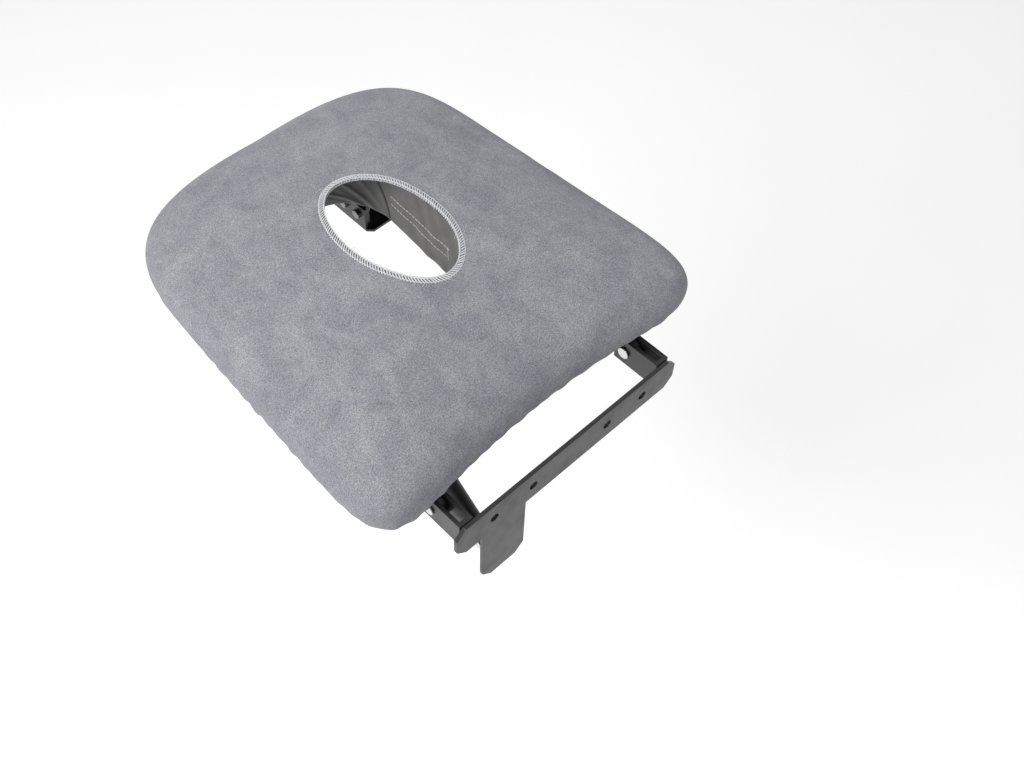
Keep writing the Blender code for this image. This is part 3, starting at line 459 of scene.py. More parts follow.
def fleece_finish():
    """Short microfibre pile: cloudy nap, fine grain and a pale sheen at grazing angles."""
    finish = Finish("fleece", roughness=1.0)
    clouds = finish.ramp(finish.noise(32.0, 4.0, 0.62, distortion=0.6), (0.32, 0.0), (0.68, 1.0))
    tone = finish.mix(clouds, (0.203, 0.207, 0.233), (0.272, 0.273, 0.292))
    streaks = finish.ramp(finish.noise(75.0, 5.0, 0.7, stretch=(1.0, 0.45, 1.0)), (0.35, 0.94), (0.65, 1.06))
    tone = finish.mix(1.0, tone, streaks, "MULTIPLY")
    grain = finish.noise(980.0, 3.0, 0.75)
    tone = finish.mix(1.0, tone, finish.ramp(grain, (0.36, 0.58), (0.64, 1.42)), "MULTIPLY")
    finish.set("Base Color", tone)
    finish.set("Sheen Weight", 0.18)
    finish.set("Sheen Roughness", 0.5)
    finish.set("Sheen Tint", (0.80, 0.82, 0.90))
    finish.set("Specular IOR Level", 0.15)
    pile = finish.bump(grain, 0.6, 0.0010)
    tufts = finish.bump(finish.noise(240.0, 3.0, 0.6), 0.25, 0.0015, pile)
    finish.set("Normal", tufts)
    return finish.material


def thread_finish(name, colour, shade):
    """Spun thread: pale strands with darker hollows and a little fuzz."""
    finish = Finish(name, roughness=0.85)
    strands = finish.ramp(finish.noise(1500.0, 2.0, 0.6), (0.3, 0.0), (0.7, 1.0))
    finish.set("Base Color", finish.mix(strands, shade, colour))
    finish.set("Sheen Weight", 0.4)
    finish.set("Normal", finish.bump(finish.noise(2600.0, 2.0, 0.7), 0.5, 0.0003))
    return finish.material


def vinyl_finish():
    """Satin grained vinyl."""
    finish = Finish("vinyl")
    wear = finish.noise(45.0, 4.0, 0.6)
    finish.set("Base Color", finish.mix(wear, (0.066, 0.064, 0.062), (0.098, 0.096, 0.093)))
    finish.set("Roughness", finish.ramp(finish.noise(70.0, 3.0), (0.3, 0.40), (0.7, 0.54)))
    grain = finish.bump(finish.cells(620.0, "DISTANCE_TO_EDGE"), 0.35, 0.0004)
    finish.set("Normal", finish.bump(finish.noise(90.0, 2.0), 0.15, 0.0015, grain))
    return finish.material


def foam_finish(name, light, dark):
    """Open-cell foam."""
    finish = Finish(name, roughness=0.95)
    pores = finish.cells(900.0)
    finish.set("Base Color", finish.mix(finish.ramp(pores, (0.1, 0.0), (0.6, 1.0)), dark, light))
    finish.set("Normal", finish.bump(pores, 0.6, 0.0008))
    return finish.material


def plywood_finish():
    """Birch plywood: long grain on the faces, stripes of plies on the edge."""
    finish = Finish("plywood", roughness=0.68)
    grain = finish.noise(60.0, 6.0, 0.65, stretch=(1.0, 0.08, 1.0), distortion=1.2)
    dark, middle, light = (0.36, 0.23, 0.12), (0.56, 0.39, 0.22), (0.66, 0.49, 0.30)
    wood = finish.ramp(grain, (0.3, dark), (0.55, middle), (0.75, light))
    plies = finish.ramp(finish.bands(140.0, "Z", 0.4), (0.35, 0.72), (0.6, 1.0))
    finish.set("Base Color", finish.mix(1.0, wood, plies, "MULTIPLY"))
    finish.set("Normal", finish.bump(grain, 0.3, 0.0006))
    return finish.material


def nonwoven_finish():
    """Black non-woven sheet with its grid of bonded dots."""
    finish = Finish("nonwoven", roughness=0.9)
    dots = finish.ramp(finish.cells(430.0), (0.0, 1.0), (0.35, 0.0))
    fibres = finish.noise(500.0, 5.0, 0.8, distortion=3.0)
    finish.set("Base Color", finish.mix(fibres, (0.014, 0.014, 0.015), (0.050, 0.050, 0.053)))
    dimples = finish.bump(dots, -0.4, 0.0005)
    finish.set("Normal", finish.bump(fibres, 0.4, 0.0004, dimples))
    return finish.material


def powder_coat_finish():
    """Black powder coat: fine orange peel and a trace of dust."""
    finish = Finish("black_steel")
    dust = finish.ramp(finish.noise(35.0, 6.0, 0.7), (0.45, 0.0), (0.75, 1.0))
    finish.set("Base Color", finish.mix(dust, (0.013, 0.013, 0.014), (0.030, 0.029, 0.028)))
    finish.set("Roughness", finish.ramp(dust, (0.0, 0.34), (1.0, 0.52)))
    finish.set("Normal", finish.bump(finish.noise(700.0, 2.0, 0.5), 0.22, 0.0004))
    return finish.material


def zinc_finish(name, dark, light):
    """Zinc-plated steel with soft blotches."""
    finish = Finish(name, metallic=1.0)
    blotches = finish.noise(160.0, 4.0, 0.6)
    finish.set("Base Color", finish.mix(blotches, dark, light))
    finish.set("Roughness", finish.ramp(finish.noise(420.0, 3.0), (0.3, 0.22), (0.7, 0.42)))
    finish.set("Normal", finish.bump(finish.noise(1400.0, 2.0), 0.15, 0.0002))
    return finish.material


def chrome_finish():
    """The polished piston rod."""
    finish = Finish("chrome", metallic=1.0)
    finish.set("Base Color", finish.mix(finish.noise(90.0, 2.0), (0.70, 0.71, 0.73), (0.80, 0.80, 0.81)))
    finish.set("Roughness", finish.ramp(finish.noise(300.0, 4.0), (0.35, 0.05), (0.7, 0.14)))
    finish.set("Normal", finish.bump(finish.noise(2200.0, 1.0), 0.04, 0.0001))
    return finish.material


def plastic_finish(name, light, dark, roughness):
    """Moulded plastic with a fine spark-eroded texture."""
    finish = Finish(name)
    finish.set("Base Color", finish.mix(finish.noise(120.0, 3.0), dark, light))
    mottle = finish.noise(260.0, 3.0)
    finish.set("Roughness", finish.ramp(mottle, (0.3, roughness - 0.08), (0.7, roughness + 0.08)))
    finish.set("Normal", finish.bump(finish.cells(1500.0), 0.18, 0.0002))
    return finish.material


FLEECE = fleece_finish()
OVERLOCK = thread_finish("overlock_thread", (0.70, 0.71, 0.73), (0.44, 0.45, 0.48))
OVERLOCK_CHAIN = thread_finish("overlock_chain", (0.76, 0.77, 0.79), (0.52, 0.53, 0.55))
TOPSTITCH = thread_finish("topstitch_thread", (0.66, 0.64, 0.59), (0.46, 0.44, 0.40))
# Near-black thread for the lining's seams: painted shade of the seam's valley.
SEAM_SHADE_FINISH = thread_finish("seam_painted_shade", (0.022, 0.022, 0.022), (0.010, 0.010, 0.010))
VINYL = vinyl_finish()
FOAM_FIRM = foam_finish("foam_firm", (0.62, 0.60, 0.52), (0.42, 0.40, 0.33))
FOAM_SOFT = foam_finish("foam_soft", (0.82, 0.78, 0.62), (0.60, 0.55, 0.40))
PLYWOOD = plywood_finish()
NONWOVEN = nonwoven_finish()
ELASTIC = thread_finish("elastic", (0.34, 0.34, 0.36), (0.20, 0.20, 0.22))
BLACK_STEEL = powder_coat_finish()
ZINC = zinc_finish("zinc_steel", (0.50, 0.51, 0.53), (0.74, 0.73, 0.69))
# A darker copy of the zinc for the side bolts: painted shade for their place under the cushion.
SIDE_BOLT_SHADE_ZINC = zinc_finish("zinc_painted_shade", (0.16, 0.16, 0.17), (0.30, 0.30, 0.29))
CHROME = chrome_finish()
BLACK_PLASTIC = plastic_finish("black_plastic", (0.030, 0.030, 0.031), (0.018, 0.018, 0.019), 0.46)
NYLON = plastic_finish("nylon", (0.74, 0.73, 0.68), (0.62, 0.61, 0.55), 0.42)

SLOT_FINISHES = {
    "fleece": FLEECE,
    "overlock_thread": OVERLOCK,
    "vinyl": VINYL,
    "foam_firm": FOAM_FIRM,
    "foam_soft": FOAM_SOFT,
    "plywood": PLYWOOD,
    "nonwoven": NONWOVEN,
    "elastic": ELASTIC,
    "black_steel": BLACK_STEEL,
    "zinc_steel": ZINC,
    "chrome": CHROME,
    "black_plastic": BLACK_PLASTIC,
    "nylon": NYLON,
}


# ---------------------------------------------------------------- fitted cover

# Rows and stations of the cloth, from the hem, over the waist and the shoulder, to the hole.
STATIONS = 400
COVER_FLAT_ROWS = 6
COVER_SIDE_ROWS = 9
COVER_EDGE_ROWS = 10
COVER_DOME_ROWS = 30
WAIST_ROW = COVER_FLAT_ROWS + COVER_SIDE_ROWS
HEM_ROWS_HELD = 2
RIM_ROWS_HELD = 4

# How far the cloth may stand off the fitted form on top, at the side and underneath.
COVER_LIFT = 0.0016
SIDE_LIFT = 0.0035
UNDER_LIFT = 0.0026
LIMIT_BLEND_ROWS = 7
MOST_SLIDE = 0.0025

# The gathers: the waves they start from, and how far they stand out from the broad folds.
GATHER_SEED = 11
GATHER_WAVES = 9
SEED_DEPTH = 0.002
GATHER_GAIN = 4.0
GATHER_LIFT = 0.0003
BROAD_ROUNDS = 60

CLOTH_FRAMES = 20
CLOTH = {
    "quality": 6,
    "mass": 0.25,
    "tension_stiffness": 12,
    "compression_stiffness": 12,
    "shear_stiffness": 4,
    "bending_stiffness": 0.4,
    "air_damping": 2,
    "use_pressure": True,
    "uniform_pressure_force": 1.2,
}


def cover_rings(angles):
    """The cover's outer face as it is fitted, with its brim inside the sewn edging."""
    inner = hole_radius(angles, EDGING_WIDTH * 0.7)
    rows = (COVER_FLAT_ROWS, COVER_SIDE_ROWS, COVER_EDGE_ROWS, COVER_DOME_ROWS)
    return skin_rings(angles, 0.0, HEM_INSET, inner, *rows)


def skirt_rings(fitted):
    """The same cloth before its hem is drawn in: below the waist it hangs straight down."""
    rings = [points.copy() for points in fitted]
    steps = [np.linalg.norm(b - a, axis=1) for a, b in zip(fitted, fitted[1:])]
    for row in range(WAIST_ROW - 1, -1, -1):
        rings[row][:, :2] = fitted[WAIST_ROW][:, :2]
        rings[row][:, 2] = rings[row + 1][:, 2] - steps[row]
    return rings


def surface_normals(obj):
    normals = np.zeros(len(obj.data.vertices) * 3, np.float32)
    obj.data.vertex_normals.foreach_get("vector", normals)
    return normals.reshape(-1, 3).astype(float)


def positions(mesh):
    co = np.zeros(len(mesh.vertices) * 3, np.float32)
    mesh.vertices.foreach_get("co", co)
    return co.reshape(-1, 3).astype(float)


def set_positions(obj, co):
    obj.data.vertices.foreach_set("co", np.asarray(co, np.float32).ravel())
    obj.data.update()


def gather_seeds(angles, rows):
    """Small radial waves under the waist that tell the cloth where to buckle."""
    draw = random.Random(GATHER_SEED)
    waves = []
    for _ in range(GATHER_WAVES):
        waves.append((draw.randint(48, 104), draw.uniform(0, FULL_TURN), draw.uniform(0.4, 1.0)))
    turn = np.linspace(0, FULL_TURN, len(angles), endpoint=False)
    wave = sum(size * np.sin(count * turn + phase) for count, phase, size in waves) / len(waves)
    return [wave * max(0.0, 1 - row / WAIST_ROW) ** 0.7 for row in range(rows)]


def simulate_cover(obj, fitted, relaxed):
    """Cloth: the hem is drawn in from a straight skirt, and the hem and the hole's rim are held."""
    obj.shape_key_add(name="fitted")
    rest = obj.shape_key_add(name="relaxed")
    for point, co in zip(rest.data, np.concatenate(relaxed)):
        point.co = co
    rows = len(fitted)
    held = list(range(STATIONS)) + list(range((rows - 2) * STATIONS, rows * STATIONS))
    obj.vertex_groups.new(name="held").add(held, 1.0, "REPLACE")
    cloth = obj.modifiers.new("Cloth", "CLOTH")
    for name, value in CLOTH.items():
        setattr(cloth.settings, name, value)
    cloth.settings.vertex_group_mass = "held"
    cloth.settings.rest_shape_key = rest
    cloth.settings.effector_weights.gravity = 0.0
    cloth.collision_settings.use_collision = False
    cloth.point_cache.frame_start = 1
    cloth.point_cache.frame_end = CLOTH_FRAMES
    for number in range(1, CLOTH_FRAMES + 1):
        bpy.context.scene.frame_set(number)
    shaped = obj.evaluated_get(bpy.context.evaluated_depsgraph_get())
    co = positions(shaped.data)
    obj.modifiers.remove(cloth)
    obj.shape_key_clear()
    bpy.context.scene.frame_set(1)
    return co


def smooth_rows(field, rounds):
    """Average a rows-by-stations field with its neighbours."""
    for _ in range(rounds):
        around = (np.roll(field, 1, 1) + np.roll(field, -1, 1)) / 2
        padded = np.concatenate([field[:1], field, field[-1:]])
        along = (padded[:-2] + padded[2:]) / 2
        field = field * 0.5 + around * 0.25 + along * 0.25
    return field


def smooth_around(field, rounds):
    """Average each ring of a rows-by-stations field along itself."""
    for _ in range(rounds):
        field = field * 0.5 + np.roll(field, 1, 1) * 0.25 + np.roll(field, -1, 1) * 0.25
    return field


def below_shoulder(rows):
    """1 under the cushion and on its lower side, fading to 0 on the rounded upper edge."""
    return np.clip(1 - (np.arange(rows) - WAIST_ROW) / COVER_EDGE_ROWS, 0, 1)[:, None]


def lift_limits(rows):
    """How far each ring of the cover may stand off the fitted form."""
    limit = np.full(rows, COVER_LIFT)
    limit[:COVER_FLAT_ROWS] = UNDER_LIFT
    limit[COVER_FLAT_ROWS:WAIST_ROW] = SIDE_LIFT
    padded = np.pad(limit, LIMIT_BLEND_ROWS // 2, "edge")
    return np.convolve(padded, np.ones(LIMIT_BLEND_ROWS) / LIMIT_BLEND_ROWS, "valid")[:, None]


def cloth_lift(moved, normals, limit):
    """The cloth's lift off the form and its slide along it, both kept small."""
    lift = np.einsum("rsk,rsk->rs", moved, normals)
    slide = moved - lift[:, :, None] * normals
    reach = np.linalg.norm(slide, axis=2, keepdims=True)
    slide *= np.minimum(1.0, MOST_SLIDE / np.maximum(reach, 1e-9))
    broad = smooth_around(lift, BROAD_ROUNDS)
    gathers = np.clip(GATHER_GAIN * (lift - broad) + GATHER_LIFT, 0, None)
    lift = np.clip(broad, 0, None) + gathers * below_shoulder(len(lift))
    return limit * np.tanh(lift / limit), slide


def make_fitted_cover():
    """The fleece cover, draped and then given its thickness."""
    angles = even_angles(outline_radius, STATIONS)
    fitted = cover_rings(angles)
    rows = len(fitted)
    cover = loft("fitted_cover_cloth", fitted, closed_rows=False)
    if surface_normals(cover)[STATIONS * (rows // 2)].dot(fitted[rows // 2][0]) < 0:
        cover.data.flip_normals()
    normals = surface_normals(cover).reshape(rows, STATIONS, 3)
    form = np.stack(fitted)
    seeds = np.stack(gather_seeds(angles, rows))
    started = form + normals * (seeds * SEED_DEPTH)[:, :, None]
    set_positions(cover, started.reshape(-1, 3))
    draped = simulate_cover(cover, fitted, skirt_rings(fitted)).reshape(form.shape)
    lift, slide = cloth_lift(draped - form, normals, lift_limits(rows))
    free = np.ones(rows)
    free[:HEM_ROWS_HELD] = 0.0
    free[-RIM_ROWS_HELD:] = np.linspace(1, 0, RIM_ROWS_HELD)
    lift = smooth_rows(lift * free[:, None], 1)
    final = form + normals * lift[:, :, None] + slide * free[:, None, None]
    set_positions(cover, final.reshape(-1, 3))
    solid = cover.modifiers.new("Thickness", "SOLIDIFY")
    solid.thickness = COVER_THICK
    solid.offset = -1.0
    smooth = cover.modifiers.new("Fine", "SUBSURF")
    smooth.levels = 1
    smooth.render_levels = 1
    place(cover, FLEECE, "fleece", "fitted_cover")


# ---------------------------------------------------------------- overlocked edge

# The edging: slanting wraps of thread over the cloth's raw edge, and a chain along its brim.
EDGING_THICK = 0.0030
EDGING_MIDDLE = -COVER_THICK / 2
HALF_EDGING = EDGING_WIDTH / 2
WRAP_COUNT = 138
WRAP_RADIUS = 0.00035
WRAP_SLANT = 2.3
WRAP_POINTS = 16
WRAP_STRANDS = (0.0, 0.24)
CHAIN_RADIUS = 0.00026
CHAIN_SWING = 0.0004
CHAIN_POINTS = 8
ANCHOR_RADIUS = 0.00030
LOOSE_FIBRES = 16
LOOSE_RADIUS = 0.00014
EDGING_SEED = 5


class HolePath:
    """Places on the cover round its hole, by share of the way round."""

    def __init__(self, count=1440, step=0.004):
        angles = even_angles(lambda a: hole_radius(a, HALF_EDGING), count)
        radius = hole_radius(angles, HALF_EDGING)
        self.points = ring(angles, radius, dome_height(angles, radius))
        tangent = np.roll(self.points, -1, 0) - np.roll(self.points, 1, 0)
        tangent /= np.linalg.norm(tangent, axis=1)[:, None]
        outer = hole_radius(angles, HALF_EDGING + step)
        outward = ring(angles, outer, dome_height(angles, outer)) - self.points
        outward -= tangent * np.einsum("ij,ij->i", outward, tangent)[:, None]
        self.outward = outward / np.linalg.norm(outward, axis=1)[:, None]
        self.up = np.cross(self.outward, tangent)
        self.up *= np.sign(self.up[:, 2])[:, None]

    def at(self, share, across, up):
        """Points at shares of the way round, out from the band's middle and above the cloth."""
        index = np.mod(np.asarray(share, float), 1.0) * len(self.points)
        low = np.floor(index).astype(int) % len(self.points)
        high = (low + 1) % len(self.points)
        part = (index - np.floor(index))[:, None]

        def between(values):
            return values[low] * (1 - part) + values[high] * part

        across = np.broadcast_to(across, index.shape)[:, None]
        up = np.broadcast_to(up, index.shape)[:, None]
        return between(self.points) + between(self.outward) * across + between(self.up) * up


def squared(value, power):
    """A sine or cosine pushed outwards, so that a circle turns into a rounded box."""
    return np.sign(value) * np.abs(value) ** power


def make_edging_core(path):
    """The cloth's raw edge inside the thread."""
    shares = np.arange(720) / 720
    rings = []
    for turn in np.arange(14) / 14 * FULL_TURN:
        across = (HALF_EDGING - 0.0007) * squared(math.cos(turn), 0.7)
        up = EDGING_MIDDLE + (EDGING_THICK / 2 - 0.0008) * math.sin(turn)
        rings.append(path.at(shares, across, up))
    place(loft("hole_edging_cloth", rings), FLEECE, "fleece")


def make_edging_wraps(path, draw):
    threads = Threads()
    turn = np.arange(WRAP_COUNT * WRAP_POINTS) / WRAP_POINTS * FULL_TURN
    wobble = np.array([draw.uniform(-1, 1) for _ in range(WRAP_COUNT)])
    jitter = np.interp(turn / FULL_TURN, np.arange(WRAP_COUNT) + 0.5, wobble, period=WRAP_COUNT)
    for strand in WRAP_STRANDS:
        share = (turn / FULL_TURN + strand + WRAP_SLANT * np.cos(turn) / 2 + jitter * 0.10) / WRAP_COUNT
        across = (HALF_EDGING - WRAP_RADIUS + jitter * 0.00020) * squared(np.cos(turn), 0.8)
        up = EDGING_MIDDLE + (EDGING_THICK / 2 + 0.0001) * squared(np.sin(turn), 0.6)
        threads.add(path.at(share, across, up), WRAP_RADIUS, closed=True)
    place(threads.build("hole_edging_thread"), OVERLOCK, "overlock_thread", "hole_edging")


def make_edging_chain(path):
    """Two threads twisted round each other along the edging's inner brim."""
    chain = Threads()
    turn = np.arange(WRAP_COUNT * CHAIN_POINTS) / CHAIN_POINTS * FULL_TURN
    for phase in (0.0, math.pi):
        across = -HALF_EDGING + 0.0007 + CHAIN_SWING * np.cos(turn + phase)
        up = EDGING_MIDDLE + 0.0019 + CHAIN_SWING * np.sin(turn + phase)
        chain.add(path.at(turn / FULL_TURN / WRAP_COUNT, across, up), CHAIN_RADIUS, closed=True)
    place(chain.build("hole_edging_chain"), OVERLOCK_CHAIN, "overlock_thread")


def make_edging_stitches(path, draw):
    """The stitches that hold the wraps to the cloth, and a few loose fibres beside them."""
    threads = Threads()
    for number in range(WRAP_COUNT):
        share = (number + np.array([0.12, 0.22, 0.5, 0.78, 0.88])) / WRAP_COUNT
        arch = np.array([-0.0004, 0.0003, 0.0005, 0.0003, -0.0004])
        threads.add(path.at(share, HALF_EDGING - 0.0011, arch), ANCHOR_RADIUS)
    along = np.linspace(0, 1, 9)
    for _ in range(LOOSE_FIBRES):
        start = draw.random()
        length = draw.uniform(0.004, 0.011)
        side = draw.choice((-1, 1))
        sweep = draw.uniform(-0.015, 0.015)
        across = side * (HALF_EDGING * 0.8 + length * 0.6 * along)
        up = 0.0004 + 0.0014 * np.sin(along * math.pi * draw.uniform(0.7, 1.4))
        threads.add(path.at(start + sweep * along**1.5, across, up), LOOSE_RADIUS, 5)
    place(threads.build("hole_edging_stitches"), OVERLOCK, "overlock_thread")


def make_hole_edging():
    path = HolePath()
    draw = random.Random(EDGING_SEED)
    make_edging_core(path)
    make_edging_wraps(path, draw)
    make_edging_chain(path)
    make_edging_stitches(path, draw)


# ---------------------------------------------------------------- lining and stitches

LINING_COLUMNS = 720
LINING_ROWS = 36
LINING_BACK_ROWS = 10
# Each fold: its top (degrees, height), its foot (degrees, height), its depth and its width.
FOLDS = (
    (82, 0.040, 61, 0.000, 0.0022, 0.0040),
    (97, 0.030, 66, -0.001, 0.0018, 0.0045),
    (74, 0.052, 60, 0.014, 0.0012, 0.0035),
)
SEAM_TOP = (math.radians(58.5), 0.042)
SEAM_FOOT = (math.radians(52.8), -0.0015)
SEAM_DEPTH = 0.0020
SEAM_WIDTH = 0.0010
# Radius of the black thread that paints the seam's shade.
SEAM_SHADE_RADIUS = 0.0005
SEAM_END = 0.062


def fold_depth(angles, height):
    """Soft diagonal folds in the head end of the lining, and a slight slackness all round."""
    degrees = np.degrees(angles)
    depth = 0.0004 * np.sin(7 * angles + 60 * height) + 0.0003 * np.sin(13 * angles - 90 * height)
    for start, top, end, foot, size, width in FOLDS:
        share = np.clip((top - height) / (top - foot), -0.3, 1.15)
        line = start + (end - start) * share
        away = np.radians(degrees - line) * opening_radius(angles)
        fade = np.clip(1.2 - np.abs(share - 0.5) * 1.3, 0, 1)
        crest = np.exp(-((away / width) ** 2))
        valley = np.exp(-(((away - 1.6 * width) / width) ** 2))
        depth = depth + size * fade * (crest - 0.6 * valley)
    return depth


def seam_angle(height):
    """Where the lining's two panels meet on its right side."""
    share = np.maximum(0, (height - SEAM_FOOT[1]) / (SEAM_TOP[1] - SEAM_FOOT[1]))
    return SEAM_FOOT[0] + (SEAM_TOP[0] - SEAM_FOOT[0]) * share**1.8


def lining_point(angles, height, proud=0.0):
    """Points on the lining's inner face, stood proud of it towards the opening's middle."""
    angles = np.asarray(angles, float)
    height = np.broadcast_to(height, angles.shape)
    radius = opening_radius(angles) - fold_depth(angles, height) - VINYL_THICK - proud
    turned = np.mod(angles, FULL_TURN)
    side = np.where(np.cos(turned) > 0, turned, math.pi - turned)
    away = (side - seam_angle(height)) * radius
    radius = radius + SEAM_DEPTH * np.exp(-((away / SEAM_WIDTH) ** 2))
    return np.stack([radius * np.cos(angles), radius * np.sin(angles), height], 1)


def make_lining():
    """The vinyl wall of the opening, with the flange that turns out under the board."""
    angles = even_angles(opening_radius, LINING_COLUMNS)
    low = -VINYL_THICK - GAP
    top = dome_height(angles, opening_radius(angles), VINYL_DEPTH + GAP)
    rings = [ring(angles, opening_radius(angles, -LINING_FLANGE), low)]
    rings.append(ring(angles, opening_radius(angles, -LINING_FLANGE * 0.5), low))
    for bend in (0.0, 0.35, 0.7):
        rings.append(ring(angles, opening_radius(angles, -0.0014 * (1 - bend) + 0.0004), low + 0.0003 * bend))
    for share in np.linspace(0.02, 1, LINING_ROWS):
        rings.append(lining_point(angles, low + (top - low) * share))
    for share in np.linspace(1, 0, LINING_BACK_ROWS):
        height = -GAP + (top + GAP) * share
        rings.append(ring(angles, opening_radius(angles, -VINYL_THICK + 0.0002), height))
    rings.append(ring(angles, opening_radius(angles, -LINING_FLANGE * 0.5), -GAP))
    rings.append(ring(angles, opening_radius(angles, -LINING_FLANGE), -GAP))
    lining = loft("face_hole_lining_vinyl", rings)
    place(lining, VINYL, "vinyl", "face_hole_lining")


STITCH = 0.0036
STITCH_GAP = 0.0011
STITCH_RADIUS = 0.00034
ROW_HEAD_Y = 0.062
# Each long row of stitches: its height at its head end and at its table end, and where it ends.
STITCH_ROWS = ((0.0350, 0.0362, -0.0325), (0.0248, 0.0235, -0.0255))
CROSS_ROW_Y = -0.026
CROSS_ROW_TOP = 0.038
CROSS_ROW_FOOT = 0.016


def side_angle(y):
    """The angle on the right side of the opening where it has this Y."""
    fine = np.linspace(-math.pi / 2, math.pi / 2, 800)
    return np.interp(y, opening_radius(fine) * np.sin(fine), fine)


def stitched_line(threads, angles, heights):
    """Separate stitches along a line on the lining, each dipping in at its ends."""
    points = lining_point(angles, heights)
    length = np.concatenate([[0], np.cumsum(np.linalg.norm(np.diff(points, axis=0), axis=1))])
    start = 0.0
    while start + STITCH < length[-1]:
        along = start + STITCH * np.array([0.0, 0.08, 0.3, 0.7, 0.92, 1.0])
        proud = np.array([-0.0005, 0.00005, 0.0002, 0.0002, 0.00005, -0.0005])
        turned = np.interp(along, length, angles)
        height = np.interp(along, length, heights)
        threads.add(lining_point(turned, height, proud), STITCH_RADIUS)
        start += STITCH + STITCH_GAP


def on_both_sides(angles):
    """The angles on the right side of the opening, and their mirror images on the left."""
    return angles, math.pi - angles


def make_seam_shade_lines():
    """A black thread laid along each seam where the lining's panels are joined, one on each side: painted
    shade of the seam's valley.
    """
    threads = Threads()
    heights = np.linspace(0.0, SEAM_END, 50)
    for angles in on_both_sides(seam_angle(heights)):
        threads.add(lining_point(angles, heights, 0.0004 - SEAM_DEPTH * 0.2), SEAM_SHADE_RADIUS)
    place(threads.build("face_hole_seam_shade_lines"), SEAM_SHADE_FINISH, "vinyl")


def make_lining_stitches():
    """Two long rows on each side of the opening, closed by a short cross row."""
    threads = Threads()
    for head, table, end_y in STITCH_ROWS:
        heights = np.linspace(head, table, 60)
        for angles in on_both_sides(side_angle(np.linspace(ROW_HEAD_Y, end_y, 60))):
            stitched_line(threads, angles, heights)
    heights = np.linspace(CROSS_ROW_TOP, CROSS_ROW_FOOT, 40)
    for angles in on_both_sides(np.full(40, side_angle(CROSS_ROW_Y))):
        stitched_line(threads, angles, heights)
    place(threads.build("face_hole_lining_stitches"), TOPSTITCH, "vinyl")


# ---------------------------------------------------------------- layers under the cover

LAYER_STATIONS = 192
SKIN_ROWS = (4, 8, 8, 16)
DUST_ROWS = 10
DUST_SAG = 0.0003
STAPLE_RISE = 0.0016
STAPLE_RADIUS = 0.00035
HEM_STATIONS = 720
HEM_GATHERS = 150
HEM_CORD_RADIUS = 0.0015


def make_layers():
    """What lies inside the fitted cover, and what closes it from below."""
    angles = even_angles(outline_radius, LAYER_STATIONS)
    inner = opening_radius(angles, -VINYL_THICK - 2 * GAP)
    outer_face = skin_rings(angles, VINYL_DEPTH, FLAP_INSET, inner, *SKIN_ROWS)
    inner_face = skin_rings(angles, VINYL_DEPTH + VINYL_THICK, FLAP_INSET, inner, *SKIN_ROWS)
    place(loft("vinyl_skin_fine", outer_face + inner_face[::-1]), VINYL, "vinyl", "vinyl_skin")
    make_foams(angles, inner)
    make_dust_sheet(angles)
    make_staples()
    make_hem_elastic()


def foam_side(angles, height):
    """A ring round the foam's side, at a height below the waist."""
    down = math.asin(min(1.0, (WAIST_Z - height) / (BOTTOM_DEPTH - FOAM_DEPTH)))
    return bottom_ring(angles, down, FOAM_DEPTH)


def foam_edge_angle(height):
    """How far up the foam's rounded upper edge lies a height above the waist."""
    return math.asin((height - WAIST_Z) / (EDGE_RADIUS - FOAM_DEPTH))


def make_foams(angles, inner):
    """The firm foam on the board and the soft foam on top of it."""
    seam = foam_edge_angle(FIRM_FOAM_TOP)
    rings = [ring(angles, inner, FOAM_LOW)]
    rings += [foam_side(angles, height) for height in np.linspace(FOAM_LOW, WAIST_Z, 5, endpoint=False)]
    rings += [edge_ring(angles, up, FOAM_DEPTH) for up in np.linspace(0, seam, 5)]
    rings += [ring(angles, inner, FIRM_FOAM_TOP)]
    place(loft("foam_base_block", rings), FOAM_FIRM, "foam_firm", "foam_base")
    low = FIRM_FOAM_TOP + GAP
    rings = [ring(angles, inner, low)]
    ups = np.linspace(foam_edge_angle(low), SHOULDER_ANGLE, 8)
    rings += [edge_ring(angles, up, FOAM_DEPTH) for up in ups]
    rings += [dome_ring(angles, inner, share, FOAM_DEPTH) for share in np.linspace(0.95, 0, 12)]
    place(loft("foam_top_block", rings), FOAM_SOFT, "foam_soft", "foam_top")


def make_dust_sheet(angles):
    """The non-woven sheet under the board, slack between the staples along its edges."""
    outer = outline_radius(angles, DUST_INSET)
    inner = opening_radius(angles, -LINING_FLANGE * 0.4)
    turn = np.linspace(0, FULL_TURN, len(angles), endpoint=False)
    faces = []
    for level in (DUST_HIGH.z, DUST_LOW.z):
        rings = []
        for share in np.linspace(0, 1, DUST_ROWS):
            waves = 1 + np.sin(9 * turn + 4 * share) * np.sin(5 * turn)
            sag = DUST_SAG * math.sin(math.pi * share) * waves
            rings.append(ring(angles, inner + (outer - inner) * share, level - sag))
        faces.append(rings)
    place(loft("dust_cover_sheet", faces[0] + faces[1][::-1]), NONWOVEN, "nonwoven", "dust_cover")


def make_staples():
    """Staples along the dust sheet's outer edge."""
    angles = even_angles(lambda a: outline_radius(a, DUST_INSET + STAPLE_INSET), STAPLE_COUNT)
    threads = Threads()
    for angle in angles:
        half = STAPLE_WIDTH / 2 / outline_radius(np.array([angle]), DUST_INSET)[0]
        around = angle + half * np.array([-1, -0.97, -0.5, 0.5, 0.97, 1])
        radius = outline_radius(around, DUST_INSET + STAPLE_INSET)
        height = DUST_LOW.z - 0.0002 + STAPLE_RISE * np.array([1, 0, 0, 0, 0, 1])
        threads.add(ring(around, radius, height), STAPLE_RADIUS)
    place(threads.build("dust_cover_staples"), ZINC, "zinc_steel")


